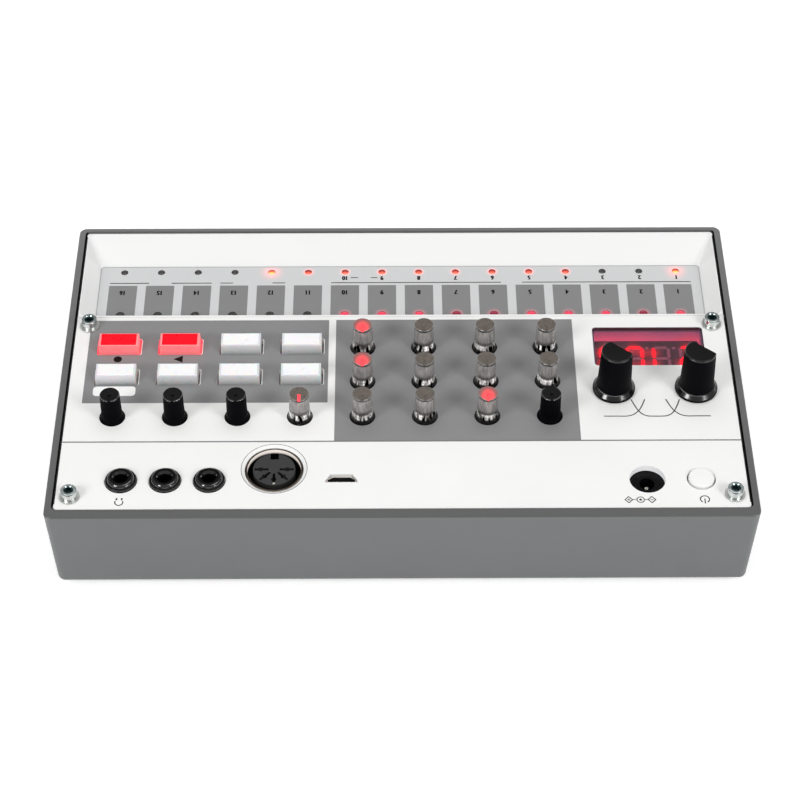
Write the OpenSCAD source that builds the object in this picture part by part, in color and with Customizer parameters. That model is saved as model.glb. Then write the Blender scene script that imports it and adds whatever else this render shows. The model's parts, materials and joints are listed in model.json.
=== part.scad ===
// Compact battery-powered sample drum machine.
// Millimetres, +Z up. The origin is on the table under the middle of the case.
// -Y is the front, with the touch keyboard; +Y is the rear, with the sockets; +X is the right.

/* [Case] */
// Width of the case at its rim
case_w = 193.5; // [192.5:0.5:200]
// Depth of the case at its rim
case_d = 115.9; // [115.4:0.1:120]
// Height of the case from its underside to its rim
case_h = 28.4; // [28:0.2:32]
// How far each side leans in from the rim to the underside
draft = 1.25; // [0.5:0.05:2]
// Thickness of the side walls
wall = 2.2; // [1.8:0.1:2.6]
// Thickness of the case floor
floor_t = 2; // [1.6:0.1:2.4]
// Width of the rim at the left and right
rim_side = 1.85; // [1.5:0.05:2]
// Width of the rim at the rear
rim_rear = 3.05; // [2.5:0.05:3.3]
// Width of the rim at the front
rim_front = 1.4; // [1.3:0.1:2]
// Corner radius of the rim seen from above
corner_r = 2.2; // [1.8:0.1:3]
// Radius of the edge round the underside
bottom_r = 1.6; // [1:0.1:3.2]
// Height of the rubber feet under the case
foot_h = 2.1; // [1.5:0.1:4]
// Diameter of the rubber feet
foot_d = 10; // [7:0.5:11]

/* [Top plates] */
// Depth of the plates below the rim
panel_drop = 0.5; // [0.3:0.1:1]
// Thickness of the control panel
panel_t = 2; // [1.6:0.1:2.4]
// Gap between the plates and the rim
panel_gap = 0.55; // [0.4:0.05:0.65]
// Gap between the control panel and the front tray
seam_gap = 0.15; // [0.1:0.05:0.3]
// Distance from the front of the rim to the seam between the two plates
seam_from_front = 38.2; // [37.6:0.1:38.4]

/* [Touch tray] */
// Depth of the touch sheet below the plates
tray_depth = 5; // [4.2:0.1:5.2]
// Run of the sloping wall at the front of the tray
tray_front_run = 8.7; // [6:0.1:9]
// Run of the sloping walls at the ends of the tray
tray_side_run = 3.8; // [2:0.1:4.4]
// Width of the lip between the seam and the tray
tray_lip = 0.8; // [0.6:0.05:1.4]
// Thickness of the tray floor
tray_floor_t = 1.2; // [1:0.1:1.4]
// Thickness of the printed touch sheet
sheet_t = 0.25; // [0.15:0.05:0.4]
// Number of steps
steps = 16; // [8:1:16]
// Distance between neighbouring steps
step_pitch = 11.03; // [10:0.01:11.1]
// Distance from the rear of the sheet to the row of lamps in the pads
pad_lamp_inset = 4.2; // [2.5:0.1:5]
// Distance between the two rows of lamps
lamp_row_gap = 18.2; // [15:0.1:19]
// Diameter of the step lamps in front of the pads
step_lamp_d = 1.9; // [1.5:0.1:2.4]
// Diameter of the lamps in the pads
pad_lamp_d = 2.3; // [1.5:0.1:2.6]

/* [Small knobs and keys] */
// Distance between neighbouring columns of knobs and keys
col_pitch = 17.5; // [17:0.1:17.6]
// Distance from the middle of the case to the rightmost column
first_col = 81; // [80:0.1:82]
// Distance from the middle of the case to the rear row of small knobs
knob_row = 20.1; // [19:0.1:21]
// Distance between the rows of the knob matrix
row_pitch = 13.6; // [13:0.1:13.8]
// Diameter of a small knob's body at its foot
knob_d = 5.85; // [5.4:0.05:6.1]
// Diameter of a small knob's body at its top
knob_top_d = 5.55; // [5.3:0.05:5.7]
// Diameter of a small knob's skirt
skirt_d = 6.8; // [6.6:0.05:7]
// Height of a small knob above the panel
knob_h = 9.2; // [8:0.1:12]
// Gap between a knob's skirt and its hole
skirt_gap = 0.25; // [0.2:0.05:0.35]
// Diameter of the shaft of a small potentiometer
pot_shaft_d = 4; // [3.5:0.05:4.1]
// Width of a key
key_w = 11.8; // [10:0.1:12.2]
// Depth of a key
key_d = 5.6; // [5:0.1:6.5]
// Height of a key above the panel
key_h = 3.3; // [2.5:0.1:4]
// Gap between a key and its hole
key_gap = 0.4; // [0.3:0.05:0.5]
// Distance from the middle of the case to the rear row of keys
key_row = 4.6; // [4:0.1:5]
// Distance between the two rows of keys
key_row_pitch = 12.15; // [11.5:0.05:12.3]
// How far a key goes down
key_travel = 0.5; // [0.3:0.05:0.6]

/* [Isolator knobs] */
// Place of the treble knob across the case
treble_x = -60.1; // [-61:0.1:-59]
// Place of the bass knob across the case
bass_x = -83.4; // [-84:0.1:-83]
// Place of both isolator knobs along the case
iso_y = 9.8; // [9.4:0.1:11]
// Diameter of an isolator knob's flange
iso_flange_d = 12; // [10.6:0.1:14]
// Diameter of its body above the flange
iso_d = 9.7; // [9:0.1:9.9]
// Diameter of its body at the top
iso_top_d = 8.8; // [7.8:0.1:8.9]
// Height of an isolator knob above the panel
iso_h = 15.2; // [12:0.1:18]
// Diameter of the shaft of an isolator potentiometer
iso_shaft_d = 5; // [4:0.1:5]

/* [Display] */
// Width of the display window
window_w = 31.8; // [30:0.1:31.9]
// Depth of the display window
window_d = 15.3; // [14:0.1:15.5]
// Place of the window's middle across the case
window_x = -71.4; // [-71.6:0.1:-71]
// Place of the window's middle along the case
window_y = -7.3; // [-7.5:0.1:-7.2]
// Depth of the digits below the panel
digit_depth = 6; // [4.5:0.1:7]

/* [Sockets] */
// Distance from the rear of the case to the row of sockets
socket_inset = 13.85; // [13:0.05:14.4]
// Place of the first minijack across the case
jack_x = 76.8; // [76:0.1:77.5]
// Distance between the minijacks
jack_pitch = 12.05; // [11:0.05:12.1]
// Bore of a minijack
jack_bore_d = 3.5; // [3.4:0.05:3.7]
// Diameter of a minijack's collar in the panel
jack_collar_d = 8.7; // [8:0.1:9]
// Place of the DIN socket across the case
din_x = 35.1; // [34.5:0.1:35.5]
// Distance from the row of sockets forward to the DIN socket
din_forward = 4.35; // [4:0.05:4.5]
// Diameter of the plug gap round the DIN insert
din_bore_d = 14.8; // [14.2:0.1:15]
// Diameter of the DIN insert
din_insert_d = 11.6; // [11:0.1:11.8]
// Place of the data socket across the case
usb_x = 16.6; // [16:0.1:17]
// Place of the power inlet across the case
dc_x = -67; // [-68:0.1:-66]
// Bore of the power inlet
dc_bore_d = 4.2; // [4:0.1:5.6]
// Diameter of the pin in the power inlet
dc_pin_d = 1.65; // [1.3:0.05:2]
// Place of the power button across the case
power_x = -81.7; // [-82:0.1:-81]
// Diameter of the power button
power_d = 7.1; // [6:0.1:7.5]
// How far the power button goes in
power_travel = 0.8; // [0.5:0.1:1]

/* [Fasteners] */
// Distance from the side of the case to the panel screws
screw_inset_x = 6.45; // [6.25:0.05:6.6]
// Distance from the rear of the case to the rear panel screws
screw_inset_y = 8.1; // [7.85:0.05:8.4]
// Distance from the seam back to the front panel screws
screw_from_seam = 3.55; // [3.4:0.05:3.8]
// Diameter of a panel screw's thread
screw_d = 2.5; // [2:0.1:2.6]
// Diameter of a panel screw's head
screw_head_d = 4.4; // [4:0.1:4.8]
// Diameter of a panel washer
washer_d = 5.6; // [5:0.1:6]

/* [Inside] */
// Distance from the panel's face down to the main board
board_drop = 12; // [11.5:0.1:12.4]
// Thickness of the circuit boards
board_t = 1.6; // [1.2:0.1:1.8]
// Diameter of a battery cell
cell_d = 14.5; // [14:0.1:14.5]
// Length of a battery cell
cell_l = 50.5; // [50:0.1:50.5]
// Thickness of the battery door
door_t = 1.8; // [1.5:0.1:2]

/* [Hidden] */
$fn = 64;
eps = 0.01;

// Heights, from the table up
rim_z = foot_h + case_h;
panel_z = rim_z - panel_drop;
panel_under = panel_z - panel_t;
floor_z = foot_h + floor_t;
board_z = panel_z - board_drop;
board_under = board_z - board_t;
sheet_z = panel_z - tray_depth;
tray_floor_z = sheet_z - sheet_t;
touch_board_z = tray_floor_z - tray_floor_t;
digit_z = panel_z - digit_depth;
window_fit = 0.1;
window_seat = 0.5;

// Plan of the plates
plate_x = case_w / 2 - rim_side - panel_gap;
plate_rear = case_d / 2 - rim_rear - panel_gap;
plate_front = -(case_d / 2 - rim_front - panel_gap);
seam_y = -case_d / 2 + seam_from_front;
plate_corner_r = 0.9;
rim_edge = 0.25;
ledge_x = plate_x - 0.75;
ledge_t = 1.2;

// Plan of the tray
tray_edge = 0.45;
tray_side = plate_x - tray_edge;
tray_front = plate_front + tray_edge;
tray_rear = seam_y - tray_lip;
sheet_side = tray_side - tray_side_run;
sheet_front = tray_front + tray_front_run;
sheet_rear = tray_rear - 1.2;
sheet_gap = 0.2;
pad_lamp_y = sheet_rear - pad_lamp_inset;
step_lamp_y = pad_lamp_y - lamp_row_gap;
lamp_gap = 0.12;

// Columns and rows of controls
function col_x(c) = first_col - c * col_pitch;
function row_y(r) = knob_row - r * row_pitch;
function key_y(r) = key_row - r * key_row_pitch;
function step_x(i) = (i - (steps - 1) / 2) * step_pitch;
hole_d = skirt_d + 2 * skirt_gap;
shaft_fit = 0.05;
pot_size = 9.8;
pot_h = 5.2;
iso_pot_size = 11.5;
knob_sink = 1.1;
knob_wall_top = 1.2;
flutes = 24;
flute_r = 0.2;
iso_turn = 231.6;
iso_lift = 0.2;

// Keys and the switches under them
key_flange = 0.6;
key_flange_t = 0.8;
key_flange_drop = 0.35;
key_lip = 0.35;
key_lip_inset = 0.25;
key_top_w = key_w - 1.7;
key_top_d = key_d - 1.1;
key_top_shift = 0.15;
switch_size = 6;
switch_h = 3.5;
plunger_d = 3.2;
stem_clear = 0.1;
key_stem_h = 2.2;
key_bottom = panel_under - key_flange_drop - key_flange_t;
power_flange_drop = 0.35;
power_flange_t = 1;
power_gap = 0.4;
power_dome = 0.9;

// Sockets
socket_y = case_d / 2 - socket_inset;
din_y = socket_y - din_forward;
jack_nose = 1.7;
jack_body_w = 8.8;
jack_body_d = 10;
din_shell_t = 0.4;
din_hole_gap = 0.3;
din_flare = 0.9;
din_flare_depth = 0.5;
din_shell_drop = 0.4;
din_slot_w = 0.75;
din_pin_r = 3.65;
usb_w = 8.8;
usb_d = 2.9;
usb_bevel = 1.35;
usb_y = socket_y - 0.7;
usb_shell_t = 0.3;
usb_gap = 0.35;
dc_hole_d = 9.9;

// Panel screws
screw_x = case_w / 2 - screw_inset_x;
rear_screw_y = case_d / 2 - screw_inset_y;
front_screw_y = seam_y + screw_from_seam;
screw_len = 12;
screw_head_h = 2.5;
washer_t = 0.5;
boss_r = 2.2;
thread_fit = 0.03;
lug_t = 1.6;

// Battery bay
spring_l = 4.2;
cells_long = 3 * cell_l;
bay_half_x = cells_long / 2 + spring_l + 0.4;
row_gap = 0.5;
spring_wire = 0.7;
spring_r = 3;
contact_w = 10;
contact_h = 11;
contact_t = 0.4;
contact_button_d = 5;
bay_half_y = cell_d + row_gap / 2 + 0.5;
bay_y = seam_y - 13.95;
bay_wall = 1.2;
cell_z = foot_h + door_t + 0.3 + cell_d / 2;
bay_ceiling = cell_z + cell_d / 2 + 0.2;
door_gap = 0.25;
door_x = cells_long / 2 + 2.25;
door_rear = bay_y + bay_half_y - 1.6;
door_front = bay_y - bay_half_y + 0.6;
hook_w = 10;
hook_x = cell_l + 4.5;
hook_reach = 1.3;
hook_t = 1;
hook_lift = 0.15;
grip_w = 20;
grip_pitch = 1.6;
grip_from_front = 10;
notch_r = 5.5;
notch_t = 0.8;
notch_drop = 3.2;

// Main board
board_x = screw_x - boss_r - 1.6;
board_front = bay_y + bay_half_y + bay_wall + 0.6;
board_rear = plate_rear - 1.6;
post_r = 2;
board_screw_d = 2;
post_side = first_col + 3;
post_left = -first_col + 29.5;
post_mid = first_col - 61.6;
post_row = knob_row + 11.9;
post_low = board_front + 3.4;
POSTS = [[post_side, post_row], [-post_side, post_row - 2], [post_mid, post_row],
         [post_left, post_row], [post_mid, post_low], [post_left, post_low]];
chip_size = 14;
chip_t = 1.5;
chip_x = -22;
chip_back = 14.75;
small_chip = 8;
cap_d = 5;
cap_h = 6;
cap_x = -40;
cap_pitch = 7;
cap_back = 4.25;

KEYS = ["func_key", "solo_key", "reverb_key", "reverse_key",
        "record_key", "play_key", "jump_key", "write_key"];
ROW_KNOBS = ["volume_knob", "reverb_knob", "swing_knob", "tempo_knob"];
MATRIX = [for (r = [0 : 2]) for (c = [0 : 3]) str("matrix_knob_r", r + 1, "c", c + 1)];

// ---- Shared shapes ----

// Flat outline with round corners, from corner (x0, y0) to corner (x1, y1)
module round_rect(x0, y0, x1, y1, r) {
    translate([x0 + r, y0]) square([x1 - x0 - 2 * r, y1 - y0]);
    translate([x0, y0 + r]) square([x1 - x0, y1 - y0 - 2 * r]);
    for (x = [x0 + r, x1 - r]) for (y = [y0 + r, y1 - r]) translate([x, y]) circle(r);
}

module round_plate(x0, y0, x1, y1, r, z, t) {
    translate([0, 0, z]) linear_extrude(t) round_rect(x0, y0, x1, y1, r);
}

module box(x0, y0, z0, x1, y1, z1) {
    translate([x0, y0, z0]) cube([x1 - x0, y1 - y0, z1 - z0]);
}

// Thin round posts at the four corners of a rectangle, for a hull to span
module corner_posts(x0, y0, x1, y1, r, z) {
    for (x = [x0 + r, x1 - r]) for (y = [y0 + r, y1 - r])
        translate([x, y, z]) cylinder(r = r, h = eps, $fn = 32);
}

// Points of an arc in the r-z plane, from angle a0 to a1 in n steps
function arc(cr, cz, rad, a0, a1, n) =
    [for (i = [0 : n]) let (a = a0 + (a1 - a0) * i / n) [cr + rad * cos(a), cz + rad * sin(a)]];

module at_panel_screws(front_z, rear_z) {
    for (sx = [-1, 1]) {
        translate([sx * screw_x, rear_screw_y, rear_z]) children();
        translate([sx * screw_x, front_screw_y, front_z]) children();
    }
}

module at_small_pots() {
    for (c = [0 : 3]) translate([col_x(c), knob_row, 0]) children();
    for (r = [0 : 2]) for (c = [0 : 3]) translate([col_x(c + 4), row_y(r), 0]) children();
}

module at_iso_pots() {
    for (x = [treble_x, bass_x]) translate([x, iso_y, 0]) children();
}

module at_keys() {
    for (r = [0, 1]) for (c = [0 : 3]) translate([col_x(c), key_y(r), 0]) children();
}

module at_jacks() {
    for (i = [0 : 2]) translate([jack_x - i * jack_pitch, socket_y, 0]) children();
}

// ---- Case ----

function inset_at(z) = draft * max(0, rim_z - rim_edge - z) / case_h;

module case_outline(z, shrink, r) {
    w = case_w / 2 - inset_at(z) - shrink;
    d = case_d / 2 - inset_at(z) - shrink;
    corner_posts(-w, -d, w, d, r, z);
}

module case_body() {
    low_r = bottom_r + 0.5;
    hull() {
        case_outline(rim_z - eps, rim_edge, corner_r - rim_edge);
        case_outline(rim_z - rim_edge, 0, corner_r);
        for (a = [0 : 22.5 : 90])
            case_outline(foot_h + bottom_r * (1 - cos(a)), bottom_r * (1 - sin(a)),
                         low_r - bottom_r * (1 - sin(a)));
    }
}

module case_hollow() {
    hull() {
        case_outline(panel_under, wall, corner_r);
        case_outline(floor_z, wall, corner_r);
    }
    round_plate(-plate_x - panel_gap, plate_front - panel_gap, plate_x + panel_gap,
                plate_rear + panel_gap, plate_corner_r + panel_gap, panel_under, panel_t + 2);
}

// Step inside the rim that the plates lie on
module case_ledge() {
    edge_x = plate_x + panel_gap + 0.3;
    difference() {
        box(-edge_x, plate_front - panel_gap - 0.3, panel_under - ledge_t,
            edge_x, plate_rear + panel_gap + 0.3, panel_under);
        box(-ledge_x, plate_front + 1.9, panel_under - ledge_t - 1,
            ledge_x, plate_rear - 0.9, panel_under + 1);
    }
}

module battery_bay() {
    x = bay_half_x;
    w = bay_wall;
    difference() {
        box(-x - w, bay_y - bay_half_y - w, floor_z - eps,
            x + w, bay_y + bay_half_y + w, bay_ceiling + w);
        box(-x, bay_y - bay_half_y, floor_z - 1, x, bay_y + bay_half_y, bay_ceiling);
    }
}

module door_hole() {
    box(-door_x - door_gap, door_front - door_gap, foot_h - 1,
        door_x + door_gap, door_rear + door_gap, floor_z + eps);
}

// Dished finger notch in the floor in front of the battery door
module finger_notch() {
    translate([0, door_front + 1.5, foot_h - notch_drop]) rotate_extrude()
        polygon([[0, 0], [notch_r, 0], [notch_r, notch_drop], [notch_r - 1.2, notch_drop + notch_t],
                 [0, notch_drop + notch_t]]);
}

module screw_posts() {
    for (sx = [-1, 1]) {
        for (spot = [[rear_screw_y, panel_under], [front_screw_y, panel_under - lug_t]])
            translate([sx * screw_x, spot[0], floor_z - eps]) {
                h = spot[1] - floor_z + eps;
                cylinder(r = boss_r, h = h);
                translate([sx > 0 ? 0 : -4.3, -0.6, 0]) cube([4.3, 1.2, h - 4]);
            }
    }
}

module at_feet() {
    for (sx = [-1, 1]) for (sy = [-1, 1])
        translate([sx * (case_w / 2 - 12.5), sy * (case_d / 2 - 10.5), 0]) children();
}

module case() {
    color("#7b7d7c") difference() {
        union() {
            difference() {
                case_body();
                case_hollow();
            }
            case_ledge();
            battery_bay();
            screw_posts();
        }
        door_hole();
        finger_notch();
        at_panel_screws(panel_under - lug_t - screw_len, panel_under - screw_len)
            cylinder(r = screw_d / 2 + thread_fit, h = screw_len + 1);
        at_feet() translate([0, 0, foot_h - 1]) cylinder(d = foot_d + 0.2, h = 1.4);
    }
}

module rubber_feet() {
    color("#242424") at_feet() rotate_extrude()
        polygon(concat([[0, 0]], arc(foot_d / 2 - 0.6, 0.6, 0.6, -90, 0, 4),
                       [[foot_d / 2, foot_h + 0.4], [0, foot_h + 0.4]]));
}

module battery_door() {
    front = door_front;
    hook_z = floor_z + hook_lift;
    color("#757776") {
        difference() {
            box(-door_x, front, foot_h, door_x, door_rear, foot_h + door_t);
            // Grip ridges beside the finger notch
            for (i = [0 : 4]) translate([-grip_w / 2, front + grip_from_front + i * grip_pitch, foot_h])
                rotate([0, 90, 0]) cylinder(r = 0.4, h = grip_w);
            finger_notch();
        }
        for (x = [-hook_x, 0, hook_x]) {
            box(x - hook_w / 2, door_rear - 1.5, foot_h + door_t - eps,
                x + hook_w / 2, door_rear - 0.3, hook_z + hook_t);
            box(x - hook_w / 2, door_rear - 1.5, hook_z,
                x + hook_w / 2, door_rear + hook_reach, hook_z + hook_t);
        }
    }
}

// ---- Top plates ----

module usb_outline(grow) {
    w = usb_w / 2 + grow;
    d = usb_d / 2 + grow;
    b = usb_bevel;
    polygon([[-w, d], [w, d], [w, d - 0.7], [w - b, -d], [-w + b, -d], [-w, d - 0.7]]);
}

module key_outline(grow) {
    w = key_w / 2 + grow;
    d = key_d / 2 + grow;
    round_rect(-w, -d, w, d, 0.5 + grow / 2);
}

module panel_openings() {
    deep = panel_t + 2;
    z = panel_under - 1;
    at_small_pots() translate([0, 0, z]) cylinder(d = hole_d, h = deep);
    at_iso_pots() translate([0, 0, z]) cylinder(d = iso_shaft_d + 2.5, h = deep);
    at_keys() translate([0, 0, z]) linear_extrude(deep) key_outline(key_gap);
    at_jacks() translate([0, 0, z]) cylinder(d = jack_collar_d + 0.3, h = deep);
    translate([din_x, din_y, z]) cylinder(d = din_bore_d + 2 * (din_shell_t + din_hole_gap), h = deep);
    translate([din_x, din_y, panel_z - din_flare_depth])
        cylinder(d1 = din_bore_d + 2 * (din_shell_t + din_hole_gap),
                 d2 = din_bore_d + 2 * (din_shell_t + din_hole_gap + din_flare), h = din_flare_depth + eps);
    translate([usb_x, usb_y, z]) linear_extrude(deep) usb_outline(0);
    translate([dc_x, socket_y, z]) cylinder(d = dc_hole_d, h = deep);
    translate([power_x, socket_y, z]) cylinder(d = power_d + 2 * power_gap, h = deep);
    at_panel_screws(z, z) cylinder(r = screw_d / 2 + 0.2, h = deep);
}

module window_outline(grow) {
    w = window_w / 2 + grow;
    d = window_d / 2 + grow;
    translate([window_x, window_y]) round_rect(-w, -d, w, d, 1);
}

module control_panel() {
    well_wall = 0.7;
    color("#f1f1ef") difference() {
        union() {
            translate([0, 0, panel_under]) linear_extrude(panel_t) union() {
                round_rect(-plate_x, 0, plate_x, plate_rear, plate_corner_r);
                translate([-plate_x, seam_y]) square([2 * plate_x, plate_rear / 2 - seam_y]);
            }
            // Well that the digits stand in
            translate([0, 0, digit_z + 0.1]) linear_extrude(panel_under - digit_z)
                window_outline(well_wall - window_seat);
            // Posts that carry the main board
            for (p = POSTS) translate([p[0], p[1], board_z])
                cylinder(r = post_r, h = panel_under - board_z + 1);
        }
        translate([0, 0, panel_under]) linear_extrude(panel_t + 1) window_outline(window_fit);
        translate([0, 0, digit_z - 1]) linear_extrude(digit_depth) window_outline(-window_seat);
        panel_openings();
        for (p = POSTS) translate([p[0], p[1], board_z - 1])
            cylinder(r = board_screw_d / 2 + thread_fit, h = 7);
    }
}

module lamp_holes(d, z, h) {
    for (i = [0 : steps - 1]) {
        translate([step_x(i), step_lamp_y, z]) cylinder(d = d[0], h = h, $fn = 32);
        translate([step_x(i), pad_lamp_y, z]) cylinder(d = d[1], h = h, $fn = 32);
    }
}

module tray_recess() {
    hull() {
        corner_posts(-tray_side, tray_front, tray_side, tray_rear, 2.2, panel_z);
        corner_posts(-sheet_side, sheet_front, sheet_side, sheet_rear, 1.2, tray_floor_z);
    }
}

module tray_dish() {
    low = touch_board_z;
    hull() {
        corner_posts(-ledge_x + 0.2, plate_front + 2.1, ledge_x - 0.2, seam_y - seam_gap, 1.2, panel_under);
        corner_posts(-sheet_side - 1.4, sheet_front - 1.4, sheet_side + 1.4, seam_y - seam_gap, 1.2, low);
    }
}

module front_tray() {
    rear = seam_y - seam_gap;
    color("#f1f1ef") difference() {
        union() {
            translate([0, 0, panel_under]) linear_extrude(panel_t) union() {
                round_rect(-plate_x, plate_front, plate_x, plate_front + 20, plate_corner_r);
                translate([-plate_x, plate_front + 5]) square([2 * plate_x, rear - plate_front - 5]);
            }
            tray_dish();
            // Lugs under the control panel for the front screws
            for (sx = [-1, 1]) {
                in = screw_x - boss_r + 0.1;
                out = ledge_x - 0.2;
                box(sx > 0 ? in : -out, rear - 3, panel_under - lug_t,
                    sx > 0 ? out : -in, front_screw_y + boss_r + 0.4, panel_under);
            }
        }
        tray_recess();
        lamp_holes([step_lamp_d + 2 * lamp_gap, pad_lamp_d + 2 * lamp_gap],
                   touch_board_z - 1, tray_floor_t + 3);
        for (sx = [-1, 1]) translate([sx * screw_x, front_screw_y, panel_under - lug_t - 1])
            cylinder(r = screw_d / 2 + 0.2, h = lug_t + 2);
    }
}

module touch_sheet() {
    color("#cfd0d0") difference() {
        round_plate(-sheet_side + sheet_gap, sheet_front + sheet_gap, sheet_side - sheet_gap,
                    sheet_rear - sheet_gap, 1, tray_floor_z, sheet_t);
        lamp_holes([step_lamp_d + 2 * lamp_gap, pad_lamp_d + 2 * lamp_gap], tray_floor_z - 1, sheet_t + 2);
    }
}

module touch_board() {
    color("#2f5b41") box(-sheet_side, sheet_front, touch_board_z - board_t,
                         sheet_side, sheet_rear + 0.6, touch_board_z);
}

// Round lamp that stands on the touch board and ends in a low dome
module lamp(d) {
    dome = 0.3;
    h = tray_floor_t + sheet_t - 0.1;
    rotate_extrude($fn = 32) polygon([[0, 0], [d / 2, 0], [d / 2, h], [d * 0.42, h + dome * 0.55],
                                      [d * 0.25, h + dome * 0.9], [0, h + dome]]);
}

module step_lamps() {
    color("#d8483a") for (i = [0 : steps - 1])
        translate([step_x(i), step_lamp_y, touch_board_z]) lamp(step_lamp_d);
}

module pad_lamps() {
    color("#c23b3b") for (i = [0 : steps - 1])
        translate([step_x(i), pad_lamp_y, touch_board_z]) lamp(pad_lamp_d);
}

// ---- Display ----

module display_window() {
    color([0.8, 0.1, 0.15, 0.5]) translate([0, 0, panel_under]) linear_extrude(panel_t - 0.1)
        window_outline(0);
}

module display_module() {
    color("#3a3637") difference() {
        translate([0, 0, board_z]) linear_extrude(digit_z - board_z) window_outline(-window_seat - 0.3);
        // Relief under the block, between its rows of pins
        translate([window_x, window_y, board_z]) cube([window_w - 4, window_d - 7, 2], center = true);
    }
}

// ---- Boards and what stands on them ----

module main_board() {
    color("#2f5b41") difference() {
        union() {
            box(-board_x, board_front, board_under, board_x, board_rear, board_z);
            // Processor with the memory and the audio chip beside it
            for (c = [[chip_x, 0, chip_size], [chip_x + 1.4 * chip_size, -small_chip / 2, small_chip],
                      [chip_x - 1.4 * chip_size, 0, small_chip]])
                translate([c[0], board_rear - chip_back + c[1], board_z + chip_t / 2 - eps])
                    cube([c[2], c[2], chip_t], center = true);
            // Smoothing capacitors by the power inlet
            for (i = [0, 1])
                translate([cap_x - i * cap_pitch, board_rear - cap_back, board_z - eps])
                    cylinder(d = cap_d, h = cap_h);
        }
        for (p = POSTS) translate([p[0], p[1], board_under - 1])
            cylinder(r = board_screw_d / 2 + 0.1, h = board_t + 2);
    }
}

module pot_body(size, shaft, h) {
    difference() {
        union() {
            translate([-size / 2, -size / 2, 0]) cube([size, size, h]);
            cylinder(d = shaft + 2.4, h = h + 1.6);
        }
        translate([0, 0, -1]) cylinder(r = shaft / 2 + shaft_fit, h = h + 4);
    }
}

module small_pots() {
    color("#5d6a5f") at_small_pots() translate([0, 0, board_z]) pot_body(pot_size, pot_shaft_d, pot_h);
}

module isolator_pots() {
    color("#5d6a5f") at_iso_pots() translate([0, 0, board_z]) pot_body(iso_pot_size, iso_shaft_d, pot_h);
}

module knob_lamps() {
    color("#e8b0a8") at_small_pots() translate([0, 0, board_z])
        cylinder(d = pot_shaft_d - 0.6, h = 0.9, $fn = 32);
}

module tact_switch(top) {
    translate([-switch_size / 2, -switch_size / 2, 0]) cube([switch_size, switch_size, switch_h]);
    cylinder(d = plunger_d, h = top, $fn = 32);
}

module tact_switches() {
    key_top = key_bottom - key_stem_h - key_travel - stem_clear - board_z;
    power_top = panel_under - power_flange_drop - power_flange_t - 1 - power_travel - stem_clear - board_z;
    color("#3b3b3b") {
        at_keys() translate([0, 0, board_z]) tact_switch(key_top);
        translate([power_x, socket_y, board_z]) tact_switch(power_top);
    }
}

module key_lamps() {
    color("#f0d8d0") at_keys() translate([switch_size / 2 + 1.4, 0, board_z + 0.4])
        cube([1.6, 1.6, 0.8], center = true);
}

// ---- Sockets ----

// Threaded-nose minijack: a block on the board and a stepped round collar in the panel
module minijack() {
    r = jack_collar_d / 2;
    bore = jack_bore_d / 2;
    depth = board_drop - 0.2;
    nose = jack_nose;
    difference() {
        union() {
            translate([-jack_body_w / 2, -jack_body_d / 2, board_z])
                cube([jack_body_w, jack_body_d, panel_under - board_z - 0.2]);
            translate([0, 0, panel_z]) rotate_extrude()
                polygon(concat([[0, -panel_t - 1], [r, -panel_t - 1]], arc(r - 0.35, 0.35, 0.35, 0, 90, 4),
                               arc(r - 1.55, 0.75, nose - 0.75, 0, 90, 6), [[0, nose]]));
        }
        translate([0, 0, panel_z - depth]) cylinder(d = jack_bore_d, h = depth + nose + 1);
        translate([0, 0, panel_z + nose - 0.75]) cylinder(r1 = bore, r2 = bore + 0.5, h = 0.75 + eps);
    }
}

module jack_at(i) {
    color("#1c1c1d") translate([jack_x - i * jack_pitch, socket_y, 0]) minijack();
}

module phones_jack() { jack_at(0); }
module sync_out_jack() { jack_at(1); }
module sync_in_jack() { jack_at(2); }

module din_shell() {
    color("#c9c4ba") translate([din_x, din_y, board_z + 1]) difference() {
        cylinder(d = din_bore_d + 2 * din_shell_t, h = panel_z - board_z - 1 - din_shell_drop);
        translate([0, 0, -1]) cylinder(d = din_bore_d, h = board_drop + 2);
    }
}

// Radial contact slot of the DIN insert, with its round pin hole
module din_slot(angle) {
    rotate([0, 0, angle]) {
        translate([1.5, -din_slot_w / 2, 0]) cube([3.9, din_slot_w, 20]);
        translate([din_pin_r, 0, 0]) cylinder(d = 1.5, h = 20, $fn = 32);
    }
}

module din_insert() {
    top = panel_z - 0.3;
    color("#3d3c3d") translate([din_x, din_y, 0]) difference() {
        union() {
            translate([0, 0, board_z]) cylinder(d = din_bore_d + 2 * din_shell_t, h = 1);
            translate([0, 0, board_z + 0.5]) cylinder(d = din_insert_d, h = top - board_z - 0.5);
        }
        // Key notch in the front edge of the insert
        translate([-1.15, -din_insert_d / 2 - 1, panel_z - 6]) cube([2.3, 3.1, 7]);
        translate([0, 0, board_z + 1.6]) for (a = [0, 45, 90, 135, 180]) din_slot(a);
    }
}

module din_contacts() {
    color("#d8d2c0") for (a = [0, 45, 90, 135, 180])
        translate([din_x, din_y, board_z + 1.6]) rotate([0, 0, a]) translate([din_pin_r, 0, 0])
            difference() {
                cylinder(d = 1.44, h = 8, $fn = 32);
                translate([0, 0, 1]) cylinder(d = 1, h = 8, $fn = 32);
            }
}

module usb_shell() {
    color("#b9babb") translate([usb_x, usb_y, board_z]) difference() {
        linear_extrude(board_drop - 0.6) usb_outline(-usb_gap);
        translate([0, 0, 1]) linear_extrude(board_drop) usb_outline(-usb_gap - usb_shell_t);
    }
}

module usb_tongue() {
    color("#202020") translate([usb_x, usb_y, board_z])
        translate([-2.4, -0.1, 1]) cube([4.8, 0.55, board_drop - 3.2]);
}

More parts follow.
